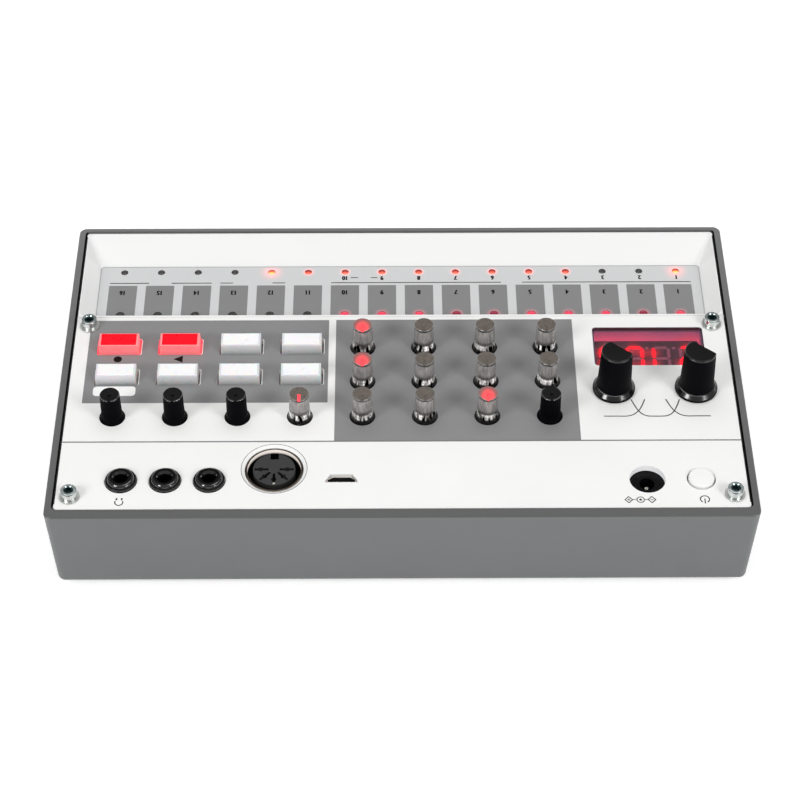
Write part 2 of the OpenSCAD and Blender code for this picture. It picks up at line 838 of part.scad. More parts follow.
module dc_inlet() {
    face = panel_under - 0.05;
    color("#1b1b1c") translate([dc_x, socket_y, 0]) difference() {
        union() {
            translate([-4.5, -5.5, board_z]) cube([9, 11, 7]);
            translate([0, 0, board_z]) cylinder(d = dc_hole_d + 0.6, h = face - board_z);
        }
        translate([0, 0, board_z + 1]) cylinder(d = dc_bore_d, h = board_drop);
    }
}

module dc_pin() {
    color("#b8b8b2") translate([dc_x, socket_y, board_z + 1]) rotate_extrude()
        polygon([[0, 0], [dc_pin_d / 2, 0], [dc_pin_d / 2, 6.6], [dc_pin_d / 2 - 0.3, 7.2], [0, 7.2]]);
}

// ---- Fasteners ----

module panel_screws() {
    color("#c8cbca") at_panel_screws(panel_z + washer_t, panel_z + washer_t) difference() {
        union() {
            rotate_extrude() polygon(concat([[0, 0], [screw_head_d / 2, 0]],
                arc(screw_head_d / 2 - 0.3, screw_head_h - 0.3, 0.3, 0, 90, 4), [[0, screw_head_h]]));
            translate([0, 0, 1 - screw_len]) cylinder(d = screw_d, h = screw_len);
        }
        translate([0, 0, screw_head_h - 1.5]) cylinder(d = 2.35, h = 3, $fn = 6);
        translate([0, 0, screw_head_h - 0.3]) cylinder(r1 = 1.1, r2 = 1.4, h = 0.3 + eps);
    }
}

module panel_washers() {
    color("#b9bdbc") at_panel_screws(panel_z, panel_z) difference() {
        cylinder(d = washer_d, h = washer_t);
        translate([0, 0, -1]) cylinder(r = screw_d / 2 + 0.15, h = washer_t + 2);
    }
}

module board_screws() {
    color("#8d8f92") for (p = POSTS) translate([p[0], p[1], board_under]) difference() {
        union() {
            translate([0, 0, -1.4]) cylinder(d = 3.8, h = 1.4);
            translate([0, 0, -0.5]) cylinder(d = board_screw_d, h = board_t + 5.5);
        }
        for (a = [0, 90]) rotate([0, 0, a]) translate([-1.1, -0.25, -2]) cube([2.2, 0.5, 1.3]);
    }
}

// ---- Batteries ----

module at_cell_rows() {
    for (s = [-1, 1]) translate([0, bay_y + s * (cell_d + row_gap) / 2, cell_z])
        rotate([0, 0, s > 0 ? 180 : 0]) children();
}

module battery_cells() {
    r = cell_d / 2;
    color("#3f4a56") at_cell_rows() for (i = [-1 : 1])
        translate([(i - 0.5) * cell_l, 0, 0]) rotate([0, 90, 0]) rotate_extrude()
            polygon([[0, 0.05], [r - 0.6, 0.05], [r - 0.05, 0.6], [r - 0.05, cell_l - 1.8],
                     [r - 0.6, cell_l - 1.3], [2.6, cell_l - 1.3], [2.6, cell_l], [0, cell_l]]);
}

// Coil made of half turns that each climb half the pitch, along +Z
module coil(turns, r, pitch, wire) {
    rise = pitch / 2;
    lean = atan(rise / (2 * r));
    for (k = [0 : 2 * turns - 1])
        translate([0, 0, (k + 0.5) * rise]) rotate([0, (k % 2 == 0 ? 1 : -1) * lean, 0])
            rotate([0, 0, k % 2 == 0 ? 0 : 180]) rotate_extrude(angle = 180)
                translate([r / cos(lean), 0]) circle(d = wire);
    for (k = [0 : 2 * turns])
        translate([(k % 2 == 0 ? 1 : -1) * r, 0, k * rise]) sphere(d = wire + 0.02);
}

module battery_springs() {
    wire = spring_wire;
    turns = 3;
    color("#c4c4bd") at_cell_rows() translate([-cells_long / 2 - spring_l, 0, 0]) {
        translate([0.1 - contact_t, -contact_w / 2, -contact_h / 2])
            cube([contact_t, contact_w, contact_h]);
        translate([wire / 2 + 0.05, 0, 0]) rotate([0, 90, 0])
            coil(turns, spring_r, (spring_l - wire - 0.1) / turns, wire);
    }
}

module battery_plates() {
    color("#c4c4bd") at_cell_rows() translate([cells_long / 2 + 0.1, 0, 0]) {
        translate([spring_l - 0.2, -contact_w / 2, -contact_h / 2])
            cube([contact_t, contact_w, contact_h]);
        rotate([0, 90, 0]) cylinder(d = contact_button_d, h = spring_l);
    }
}

// ---- Controls ----

module key_cap() {
    top = panel_z + key_h;
    color("#f4f4f6") {
        translate([0, 0, key_bottom]) linear_extrude(key_flange_t) key_outline(key_gap + key_flange);
        hull() {
            translate([0, 0, key_bottom + 0.1]) linear_extrude(eps)
                square([key_w, key_d], center = true);
            translate([0, 0, top - key_lip]) linear_extrude(eps)
                square([key_w - 2 * key_lip_inset, key_d - 2 * key_lip_inset], center = true);
            // The flat top sits a little to the rear
            translate([0, key_top_shift, top - eps]) linear_extrude(eps)
                square([key_top_w, key_top_d], center = true);
        }
        translate([0, 0, key_bottom - key_stem_h]) cylinder(d = plunger_d, h = key_stem_h + 0.5, $fn = 32);
    }
}

module power_button() {
    r = power_d / 2;
    base = panel_under - power_flange_drop - power_flange_t;
    color("#eeeeec") translate([power_x, socket_y, 0]) {
        translate([0, 0, base]) cylinder(r = r + power_gap + 0.6, h = power_flange_t);
        rotate_extrude() polygon(concat([[0, base + 0.2], [r, base + 0.2], [r, panel_z + power_dome - 0.5]],
            arc(r - 0.5, panel_z + power_dome - 0.5, 0.5, 0, 70, 5), [[0, panel_z + power_dome + 0.05]]));
        translate([0, 0, base - 1]) cylinder(d = plunger_d, h = 1.5, $fn = 32);
    }
}

// Fluted cap on its shaft; the groove on top points to the rear at mid travel
module small_knob(tint) {
    r = knob_d / 2;
    top_r = knob_top_d / 2;
    round = 0.3;
    color(tint) difference() {
        rotate_extrude() polygon(concat(
            [[0, -knob_sink], [r, -knob_sink], [skirt_d / 2, -knob_sink + 0.4], [skirt_d / 2, 0.3]],
            [[skirt_d / 2 - 0.2, 0.62], [r + 0.07, 1.05], [r, 1.6]],
            arc(top_r - round, knob_h - round, round, 0, 90, 4), [[0, knob_h]]));
        translate([0, 0, -knob_sink - 1])
            cylinder(r = pot_shaft_d / 2 + shaft_fit, h = knob_h + knob_sink + 1 - knob_wall_top);
        for (i = [0 : flutes - 1]) rotate([0, 0, (i + 0.5) * 360 / flutes])
            translate([r - 0.03, 0, 1.9]) cylinder(r = flute_r, h = knob_h, $fn = 16);
        translate([-0.4, 0.3, knob_h - 0.3]) cube([0.8, knob_d, 1]);
    }
    // Shaft that turns with the cap
    low = board_z + 1.4 - panel_z;
    color("#b7b9b8") translate([0, 0, low])
        cylinder(d = pot_shaft_d, h = knob_h - knob_wall_top - low - 0.05);
}

// Tapered cap with a slanting flat that faces the mark it points to
module isolator_knob() {
    r = iso_d / 2;
    top_r = iso_top_d / 2;
    flange = iso_flange_d / 2;
    round = 0.5;
    flat_at = 1.8;
    lean = 12;
    color("#1e1e20") difference() {
        rotate_extrude() polygon(concat(
            [[0, iso_lift], [flange - 0.1, iso_lift], [flange, iso_lift + 0.1], [flange, 0.95]],
            [[flange - 0.15, 1.05], [r + 0.25, 2], [r, 2.1]],
            arc(top_r - round, iso_h - round, round, 0, 90, 4), [[0, iso_h]]));
        translate([0, 0, -1]) cylinder(r = iso_shaft_d / 2 + shaft_fit, h = iso_h + 1 - 1.6);
        rotate([0, 0, iso_turn]) translate([flat_at, -10, iso_h]) rotate([0, -lean, 0])
            translate([0, 0, -iso_h + 1.8]) cube([10, 20, iso_h]);
    }
    low = board_z + 0.6 - panel_z;
    color("#b7b9b8") translate([0, 0, low]) cylinder(d = iso_shaft_d, h = iso_h - 1.6 - low - 0.05);
}

module treble_knob() { translate([treble_x, iso_y, panel_z]) isolator_knob(); }
module bass_knob() { translate([bass_x, iso_y, panel_z]) isolator_knob(); }

clear = [0.72, 0.7, 0.68, 0.6];
black = [0.12, 0.12, 0.13];
// Only the tempo knob of the rear row and all but the last column's rear matrix knob are clear
function row_tint(c) = c == 3 ? clear : black;
function matrix_tint(r, c) = r == 0 && c == 3 ? black : clear;

case();
control_panel();
front_tray();
touch_sheet();
touch_board();
step_lamps();
pad_lamps();
display_window();
display_module();
main_board();
small_pots();
isolator_pots();
knob_lamps();
phones_jack();
sync_out_jack();
sync_in_jack();
din_shell();
din_insert();
din_contacts();
usb_shell();
usb_tongue();
dc_inlet();
dc_pin();
tact_switches();
key_lamps();
panel_screws();
panel_washers();
board_screws();
rubber_feet();
battery_cells();
battery_springs();
battery_plates();
battery_door();
power_button();
treble_knob();
bass_knob();
for (k = [0 : 7]) {
    translate([col_x(k % 4), key_y(floor(k / 4)), 0]) key_cap();
}
for (c = [0 : 3]) {
    translate([col_x(c), knob_row, panel_z]) small_knob(row_tint(c));
}
for (r = [0 : 2]) for (c = [0 : 3]) {
    translate([col_x(c + 4), row_y(r), panel_z]) small_knob(matrix_tint(r, c));
}
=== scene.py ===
"""Looks of the tabletop sample drum machine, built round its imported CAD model.

Everything is in metres in the CAD's own frame: -Y is the player's side, +Y the side with the sockets.
"""

import json
import math

import bmesh
import bpy
from mathutils import Matrix, Vector


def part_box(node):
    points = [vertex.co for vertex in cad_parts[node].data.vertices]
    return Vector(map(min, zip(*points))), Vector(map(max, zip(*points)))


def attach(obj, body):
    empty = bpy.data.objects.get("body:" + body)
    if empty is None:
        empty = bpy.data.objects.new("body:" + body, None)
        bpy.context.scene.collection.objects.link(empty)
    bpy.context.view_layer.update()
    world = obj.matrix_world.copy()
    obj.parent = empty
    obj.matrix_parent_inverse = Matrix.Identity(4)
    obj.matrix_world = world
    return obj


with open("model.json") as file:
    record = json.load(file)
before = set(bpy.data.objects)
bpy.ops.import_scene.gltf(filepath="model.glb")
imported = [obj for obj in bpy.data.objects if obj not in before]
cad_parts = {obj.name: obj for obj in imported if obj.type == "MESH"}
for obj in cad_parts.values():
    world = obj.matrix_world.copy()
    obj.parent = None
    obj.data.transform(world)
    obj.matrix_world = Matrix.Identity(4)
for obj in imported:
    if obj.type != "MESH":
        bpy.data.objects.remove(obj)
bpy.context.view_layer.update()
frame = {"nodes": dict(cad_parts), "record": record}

MM = 0.001
NODES = frame["nodes"]
BODY_OF = {
    node: body
    for body, nodes in frame["record"]["behaviour"]["bodies"].items()
    for node in nodes
}
MACHINE = BODY_OF["case"]

# ---------------------------------------------------------------- where things are

PANEL_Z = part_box("control_panel")[1].z
SHEET_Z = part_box("touch_sheet")[1].z
DIGIT_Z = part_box("display_module")[1].z
KEY_TOP_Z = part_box("play_key")[1].z
COLUMN_PITCH, ROW_PITCH = 17.5, 13.6
COLUMNS = [(81 - COLUMN_PITCH * c) * MM for c in range(8)]
KNOB_ROWS = [(20.1 - ROW_PITCH * r) * MM for r in range(3)]
KEY_ROWS = [4.6 * MM, -7.55 * MM]
KEYS = [
    ["func_key", "solo_key", "reverb_key", "reverse_key"],
    ["record_key", "play_key", "jump_key", "write_key"],
]
LIT_KEYS = ("record_key", "play_key")
MATRIX_KNOBS = [[f"matrix_knob_r{r}c{c}" for c in (1, 2, 3, 4)] for r in (1, 2, 3)]
BLACK_KNOBS = ("volume_knob", "reverb_knob", "swing_knob", "matrix_knob_r1c4")
CLEAR_KNOBS = ["tempo_knob"] + [n for row in MATRIX_KNOBS for n in row if n not in BLACK_KNOBS]
ISOLATORS = ("treble_knob", "bass_knob")
LIT_KNOBS = ("matrix_knob_r2c1", "matrix_knob_r3c1", "matrix_knob_r1c3")
STEP_PITCH = 11.03 * MM
MIDDLE_STEP = 8.5
STEP_LAMP_Y = -44.15 * MM
STEP_LAMP_R = 0.95 * MM
PAD_LAMP_Y = -25.95 * MM
PAD_LAMP_R = 1.15 * MM
BRIGHT_STEPS = (1, 12)
LIT_STEPS = range(4, 12)
LIT_PADS = range(1, 11)
DIM_PADS = (2, 6, 7)


def step_x(step):
    """Place across the machine of step 1 to 16, step 1 at the player's left."""
    return (step - MIDDLE_STEP) * STEP_PITCH


# ---------------------------------------------------------------- camera

camera_data = bpy.data.cameras.new("camera")
camera_data.sensor_width = 36.0
camera_data.lens = 105.66
camera_data.clip_start = 0.01
camera_data.clip_end = 20.0
camera = bpy.data.objects.new("camera", camera_data)
bpy.context.scene.collection.objects.link(camera)
CAMERA_PLACE = Vector((3.7, 471.2, 508.4)) * MM
CAMERA_YAW = math.radians(-0.41)
CAMERA_PITCH = math.radians(46.29)
CAMERA_ROLL = math.radians(0.10)
forward = Vector(
    (
        math.sin(CAMERA_YAW) * math.cos(CAMERA_PITCH),
        -math.cos(CAMERA_YAW) * math.cos(CAMERA_PITCH),
        -math.sin(CAMERA_PITCH),
    )
)
level_right = Vector((-math.cos(CAMERA_YAW), -math.sin(CAMERA_YAW), 0.0))
level_up = level_right.cross(forward)
right = math.cos(CAMERA_ROLL) * level_right + math.sin(CAMERA_ROLL) * level_up
up = -math.sin(CAMERA_ROLL) * level_right + math.cos(CAMERA_ROLL) * level_up
camera.matrix_world = Matrix.Translation(CAMERA_PLACE) @ Matrix(
    (
        (right.x, up.x, -forward.x, 0),
        (right.y, up.y, -forward.y, 0),
        (right.z, up.z, -forward.z, 0),
        (0, 0, 0, 1),
    )
)
bpy.context.scene.camera = camera


# ---------------------------------------------------------------- materials


def set_inputs(tree, node, inputs):
    """Sets a node's inputs, by name or number, to plain values or to other nodes' outputs."""
    for key, value in inputs.items():
        if hasattr(value, "is_output"):
            tree.links.new(value, node.inputs[key])
        else:
            node.inputs[key].default_value = value
    return node


def math_node(tree, operation, *values):
    """The output of a sum on numbers or other nodes' outputs."""
    made = tree.nodes.new("ShaderNodeMath")
    made.operation = operation
    return set_inputs(tree, made, dict(enumerate(values))).outputs[0]


def vector_node(tree, operation, *values):
    """A node that works on vectors; its outputs are Vector and Value."""
    made = tree.nodes.new("ShaderNodeVectorMath")
    made.operation = operation
    return set_inputs(tree, made, dict(enumerate(values)))


# The glow in a lit knob's disc is this much narrower across the machine than along it
WEDGE = 1.45
# Power with which the light round a lamp falls off
HALO_FALLOFF = 2.5


class Shader:
    """A Principled material under construction, with short ways to add procedural detail."""

    def __init__(self, name, colour, roughness=0.5, **sockets):
        self.material = bpy.data.materials.new(name)
        self.material.use_nodes = True
        self.tree = self.material.node_tree
        self.bsdf = self.tree.nodes["Principled BSDF"]
        self.set("Base Color", (*colour, 1))
        self.set("Roughness", roughness)
        for socket, value in sockets.items():
            self.set(socket.replace("_", " "), value)
        self.colour = colour
        self.roughness = roughness
        self.normal = None
        self.glow = None
        self.place = self.tree.nodes.new("ShaderNodeTexCoord").outputs["Object"]

    def set(self, socket, value):
        """Sets a plain value on the Principled node."""
        self.bsdf.inputs[socket].default_value = value
        return self

    def node(self, kind, **inputs):
        """Adds a node; an underscore in an input's name stands for a space."""
        named = {key.replace("_", " "): value for key, value in inputs.items()}
        return set_inputs(self.tree, self.tree.nodes.new(kind), named)

    def noise(self, size, detail=3.0, stretch=None):
        """Noise whose features are about size metres across."""
        place = self.place
        if stretch:
            place = self.node("ShaderNodeMapping", Vector=place, Scale=stretch).outputs["Vector"]
        made = self.node("ShaderNodeTexNoise", Vector=place, Scale=1 / size, Detail=detail)
        return made.outputs["Fac"]

    def spread(self, value, low, high, start=0.3, end=0.7):
        """Maps the range from start to end onto the range from low to high."""
        made = self.node("ShaderNodeMapRange", Value=value, From_Min=start, From_Max=end)
        return set_inputs(self.tree, made, {"To Min": low, "To Max": high}).outputs["Result"]

    def mix(self, share, first, second, socket="Base Color"):
        """Takes a colour socket from the first colour to the second by a share from 0 to 1."""
        made = self.tree.nodes.new("ShaderNodeMix")
        made.data_type = "RGBA"
        made.inputs["A"].default_value = (*first, 1)
        made.inputs["B"].default_value = (*second, 1)
        self.tree.links.new(share, made.inputs["Factor"])
        self.tree.links.new(made.outputs["Result"], self.bsdf.inputs[socket])

    def bump(self, height, distance):
        """Adds relief that is distance metres high, on top of any before it."""
        made = self.node("ShaderNodeBump", Height=height, Distance=distance, Strength=1.0)
        if self.normal:
            self.tree.links.new(self.normal, made.inputs["Normal"])
        self.normal = made.outputs["Normal"]
        self.tree.links.new(self.normal, self.bsdf.inputs["Normal"])
        return self

    def vary_roughness(self, size, amount):
        """Varies the roughness by amount either way in soft patches."""
        value = self.spread(self.noise(size), self.roughness - amount, self.roughness + amount)
        self.tree.links.new(value, self.bsdf.inputs["Roughness"])
        return self

    def vary_colour(self, size, amount):
        """Darkens and lightens the base colour by amount in soft patches."""
        dark = [c * (1 - amount) for c in self.colour]
        light = [min(1, c * (1 + amount)) for c in self.colour]
        self.mix(self.spread(self.noise(size), 0, 1), dark, light)
        return self

    def bands(self, colours, stops, axis="Z", socket="Base Color", streaks=None):
        """Colours that change along an axis, each stop with its own, and streaked if asked."""
        axes = self.node("ShaderNodeSeparateXYZ", Vector=self.place)
        ramp = self.tree.nodes.new("ShaderNodeValToRGB")
        low, high = stops[0], stops[-1]
        self.tree.links.new(self.spread(axes.outputs[axis], 0, 1, low, high), ramp.inputs["Fac"])
        elements = ramp.color_ramp.elements
        while len(elements) < len(stops):
            elements.new(0.5)
        for element, stop, colour in zip(elements, stops, colours):
            element.position = (stop - low) / (high - low)
            element.color = (*colour, 1)
        result = ramp.outputs["Color"]
        if streaks:
            size, dark, bright = streaks
            share = self.spread(self.noise(size, 1.0, (1, 1, 0.12)), dark, bright, 0.35, 0.65)
            scaled = vector_node(self.tree, "SCALE", result)
            result = set_inputs(self.tree, scaled, {"Scale": share}).outputs[0]
        self.tree.links.new(result, self.bsdf.inputs[socket])
        return self

    def glow_from(self, centre, reach, near, far, near_glow, far_glow, strength):
        """Base and glow colours that fade from near to far over reach metres from a centre."""
        squeezed = vector_node(self.tree, "MULTIPLY", self.place, (WEDGE, 1, 1)).outputs[0]
        middle = (centre[0] * WEDGE, centre[1], centre[2])
        gap = vector_node(self.tree, "DISTANCE", squeezed, middle).outputs["Value"]
        share = self.spread(gap, 0, 1, 0.45 * reach, reach)
        self.mix(share, near, far)
        self.mix(share, near_glow, far_glow, "Emission Color")
        return self.set("Emission Strength", strength)

    def halo(self, centre, reach, colour, strength):
        """Light that leaks sideways round a lamp at the centre; more halos add up."""
        gap = vector_node(self.tree, "DISTANCE", self.place, centre).outputs["Value"]
        share = math_node(self.tree, "POWER", self.spread(gap, 1, 0, 0.0, reach), HALO_FALLOFF)
        self.glow = math_node(self.tree, "MULTIPLY_ADD", share, strength, self.glow or 0.0)
        self.tree.links.new(self.glow, self.bsdf.inputs["Emission Strength"])
        return self.set("Emission Color", (*colour, 1))

    def emit(self, colour, strength):
        """Gives the material an even light of its own."""
        return self.set("Emission Color", (*colour, 1)).set("Emission Strength", strength)


def moulded(name, colour, roughness, grain=0.25 * MM, depth=0.012 * MM, **sockets):
    """Injection-moulded plastic with a fine spark-eroded grain."""
    shader = Shader(name, colour, roughness, **sockets)
    shader.vary_roughness(12 * MM, 0.05).vary_colour(25 * MM, 0.015)
    shader.bump(shader.noise(grain, 2.0), depth)
    return shader


def metal(name, colour, roughness):
    """Metal with a very fine grain."""
    shader = Shader(name, colour, roughness, Metallic=1.0)
    shader.vary_roughness(1.5 * MM, 0.08)
    shader.bump(shader.noise(0.12 * MM, 2.0), 0.004 * MM)
    return shader


# Case, plates, touch sheet and boards
case_grey = moulded("case_grey", (0.137, 0.143, 0.145), 0.42, 0.35 * MM, 0.018 * MM)
rim_grey = moulded("rim_grey", (0.12, 0.121, 0.121), 0.40, 0.35 * MM, 0.012 * MM)
# Painted light and shade: the rim's grey is lighter at the front and darker at the rear
RIM_PAINTED_SHADES = [(0.168, 0.170, 0.170), (0.128, 0.129, 0.129), (0.096, 0.097, 0.097)]
rim_grey.bands(RIM_PAINTED_SHADES, [-58 * MM, 0.0, 58 * MM], "Y")
white_panel = moulded("white_panel", (0.86, 0.86, 0.85), 0.38, 0.3 * MM, 0.008 * MM)
white_tray = moulded("white_tray", (0.86, 0.86, 0.855), 0.38, 0.3 * MM, 0.008 * MM)
# Painted shade: the front slope of the tray is a darker copy of its white
white_tray.bands([(0.81, 0.81, 0.805), (0.86, 0.86, 0.855)], [-47 * MM, -45 * MM], "Y")
sheet_grey = Shader("sheet_grey", (0.61, 0.615, 0.62), 0.34).vary_roughness(8 * MM, 0.04)
sheet_grey.bump(sheet_grey.noise(0.18 * MM, 2.0), 0.004 * MM)
LAMP_RED = (1.0, 0.05, 0.05)
for step in BRIGHT_STEPS:
    sheet_grey.halo((step_x(step), STEP_LAMP_Y, SHEET_Z), 5.2 * MM, LAMP_RED, 1.0)
for step in LIT_STEPS:
    sheet_grey.halo((step_x(step), STEP_LAMP_Y, SHEET_Z), 2.3 * MM, LAMP_RED, 3.4)
board_green = Shader("board_green", (0.02, 0.09, 0.045), 0.35).vary_colour(6 * MM, 0.25)
board_green.bump(board_green.noise(0.6 * MM, 1.0), 0.01 * MM)
# Display
window_red = Shader(
    "window_red", (0.80, 0.36, 0.53), 0.09, Transmission_Weight=1.0, IOR=1.35
).vary_roughness(6 * MM, 0.01)
# A faint neutral glow on the window: painted reflection
window_red.emit((0.9, 1.0, 1.0), 0.008)
window_edge = Shader("window_edge", (0.05, 0.01, 0.02), 0.5).vary_roughness(2 * MM, 0.05)
display_dark = Shader("display_dark", (0.055, 0.12, 0.075), 0.5, Specular_IOR_Level=0.15)
display_dark.vary_roughness(2 * MM, 0.05)
# The walls of the display's well carry painted light: a red glow from the digits that fades upwards,
# and a colour that turns from pink at the bottom to a shaded grey-blue at the top
well_light_and_shade = Shader("well_light_and_shade", (0.88, 0.88, 0.88), 0.5).vary_roughness(2 * MM, 0.05)
WELL_STOPS = [PANEL_Z - h * MM for h in (6.0, 4.6, 3.2, 1.9)]
WELL_PAINTED_GLOW = [(1.0, 0.2, 0.25), (0.60, 0.12, 0.16), (0.22, 0.12, 0.16), (0.20, 0.16, 0.2)]
WELL_PAINTED_SHADES = [(0.95, 0.8, 0.8), (0.85, 0.78, 0.8), (0.60, 0.62, 0.68), (0.48, 0.52, 0.56)]
well_light_and_shade.bands(WELL_PAINTED_SHADES, WELL_STOPS)
well_light_and_shade.bands(WELL_PAINTED_GLOW, WELL_STOPS, "Z", "Emission Color")
well_light_and_shade.set("Emission Strength", 0.35)
# Inside, and the walls of the openings, with painted shade and painted glow
# Painted shade: the pots' metal is near black, as the inside of the machine
pot_metal = metal("pot_metal", (0.10, 0.105, 0.10), 0.45)
lamp_clear = Shader("lamp_clear", (0.85, 0.8, 0.75), 0.2).vary_roughness(1 * MM, 0.05)
# Painted shade: an opaque near black for the undersides of the clear knobs, where the dark holes show
# through
underside_shade = Shader("underside_shade", (0.012, 0.012, 0.013), 0.7).vary_roughness(1 * MM, 0.05)
# Painted shade on the walls of the lamp holes in the touch sheet
lamp_hole_shade = Shader("lamp_hole_shade", (0.03, 0.03, 0.03), 0.6).vary_roughness(1 * MM, 0.05)
# Painted shade: near black on the walls of holes and gaps
opening_shade = Shader("opening_shade", (0.006, 0.006, 0.006), 0.7).vary_roughness(1 * MM, 0.05)
# Painted light: the walls of the gaps round the keys glow a little, and red beside the lit keys
key_gap_glow = Shader("key_gap_glow", (0.80, 0.76, 0.74), 0.6).vary_roughness(1 * MM, 0.05)
key_gap_glow.emit((0.9, 0.8, 0.76), 0.10)
key_gap_red_glow = Shader("key_gap_red_glow", (0.85, 0.12, 0.18), 0.6).vary_roughness(1 * MM, 0.05)
key_gap_red_glow.emit((1.0, 0.06, 0.12), 0.7)
# Painted light: the wall of the power inlet's hole glows a little
inlet_glow = Shader("inlet_glow", (0.9, 0.9, 0.91), 0.4).vary_roughness(1 * MM, 0.05)
inlet_glow.emit((0.97, 0.98, 1.0), 0.16)
# Sockets, screws, feet and batteries
POLISHED = {"IOR": 2.6, "Specular_IOR_Level": 1.0}
jack_black = moulded("jack_black", (0.002, 0.002, 0.0025), 0.3, 0.2 * MM, 0.002 * MM)
jack_black.set("Specular IOR Level", 0.12)
jack_edge = moulded("jack_edge", (0.003, 0.003, 0.003), 0.12, 0.2 * MM, 0.001 * MM, IOR=2.05)
socket_steel = metal("socket_steel", (0.80, 0.74, 0.67), 0.3)
# Painted shade on the top edge of the DIN socket's ring, and painted light on its inner wall: black low
# down, a glowing pale band above
shell_top_shade = metal("shell_top_shade", (0.09, 0.075, 0.065), 0.4)
shell_inside_light_and_shade = Shader("shell_inside_light_and_shade", (0.75, 0.68, 0.60), 0.3).vary_roughness(1 * MM, 0.05)
SHELL_STOPS = [PANEL_Z - 2.0 * MM, PANEL_Z - 1.3 * MM]
shell_inside_light_and_shade.bands([(0.003, 0.003, 0.003), (0.86, 0.79, 0.74)], SHELL_STOPS)
shell_inside_light_and_shade.bands([(0, 0, 0), (0.95, 0.86, 0.80)], SHELL_STOPS, "Z", "Emission Color")
shell_inside_light_and_shade.set("Emission Strength", 0.42)
# Painted highlight: the DIN contacts are pale and glow a little
contact_glint = Shader("contact_glint", (0.92, 0.90, 0.86), 0.25).vary_roughness(1 * MM, 0.05)
contact_glint.emit((1.0, 0.98, 0.94), 0.2)
insert_grey = moulded("insert_grey", (0.026, 0.026, 0.028), 0.5, 0.2 * MM, 0.006 * MM)
contact_metal = metal("contact_metal", (0.8, 0.77, 0.68), 0.2)
switch_black = moulded("switch_black", (0.02, 0.02, 0.02), 0.4)
screw_steel = metal("screw_steel", (0.68, 0.71, 0.70), 0.17)
screw_steel.bump(screw_steel.noise(0.5 * MM, 1.0, (1, 1, 0.2)), 0.03 * MM)
# The screws' flat tops are a darker, greener steel; their near-black recesses are painted shade
screw_top = metal("screw_top", (0.60, 0.68, 0.67), 0.22)
recess_shade = metal("recess_shade", (0.10, 0.15, 0.155), 0.3)
washer_steel = metal("washer_steel", (0.62, 0.63, 0.61), 0.42)
foot_rubber = moulded("foot_rubber", (0.02, 0.02, 0.02), 0.75, 0.4 * MM, 0.03 * MM)
cell_wrap = Shader("cell_wrap", (0.03, 0.045, 0.07), 0.28, Metallic=0.6).vary_roughness(4 * MM, 0.05)
spring_steel = metal("spring_steel", (0.7, 0.7, 0.66), 0.25)
# Keys
KEY_BODY = {"Subsurface_Weight": 0.5, "Subsurface_Scale": 1.2 * MM}
key_white = Shader("key_white", (0.93, 0.935, 0.95), 0.3, **KEY_BODY).vary_roughness(2 * MM, 0.04)
# Painted shade: a key's bevel is a darker, bluer copy of its white top, and its side a grey that
# darkens towards the panel; the lit keys get three red copies the same way
key_bevel_shade = Shader("key_bevel_shade", (0.78, 0.80, 0.82), 0.25, **KEY_BODY).vary_roughness(2 * MM, 0.04)
key_side_shade = Shader("key_side_shade", (0.46, 0.50, 0.52), 0.3, **KEY_BODY).vary_roughness(2 * MM, 0.04)
key_side_shade.bands([(0.50, 0.50, 0.50), (0.84, 0.85, 0.87)], [PANEL_Z, KEY_TOP_Z])
red_top = Shader("red_top", (0.5, 0.0, 0.005), 0.3, Specular_IOR_Level=0.2).vary_roughness(2 * MM, 0.04)
red_top.emit((1.0, 0.003, 0.014), 0.85)
red_edge = Shader("red_edge", (0.80, 0.27, 0.28), 0.3, **KEY_BODY).vary_roughness(2 * MM, 0.04)
red_edge.emit((1.0, 0.16, 0.17), 0.5)
red_side = Shader("red_side", (0.75, 0.22, 0.24), 0.3, **KEY_BODY).vary_roughness(2 * MM, 0.04)
red_side.emit((1.0, 0.14, 0.15), 0.45)
KEY_LOOK = (key_side_shade, key_bevel_shade, key_white)
LIT_KEY_LOOK = (red_side, red_edge, red_top)
# Knobs
knob_black = moulded("knob_black", (0.002, 0.002, 0.003), 0.5, 0.2 * MM, 0.004 * MM)
knob_black.set("Specular IOR Level", 0.03)
knob_black_top = moulded("knob_black_top", (0.003, 0.003, 0.003), 0.3, 0.2 * MM, 0.003 * MM)
knob_black_top.set("Specular IOR Level", 0.25)
knob_black_edge = moulded(
    "knob_black_edge", (0.003, 0.003, 0.003), 0.1, 0.2 * MM, 0.001 * MM, **POLISHED
)
isolator_edge = moulded(
    "isolator_edge", (0.003, 0.003, 0.003), 0.2, 0.2 * MM, 0.001 * MM, IOR=1.85
)
knob_clear = Shader(
    "knob_clear", (0.97, 0.955, 0.94), 0.03, Transmission_Weight=1.0, IOR=1.49
).vary_roughness(1 * MM, 0.01)
knob_frosted = Shader(
    "knob_frosted", (0.93, 0.92, 0.91), 0.12, Transmission_Weight=0.96, IOR=1.49
).vary_roughness(1 * MM, 0.04)
knob_frosted.bump(knob_frosted.noise(0.35 * MM, 1.0, (1, 1, 0.08)), 0.06 * MM)
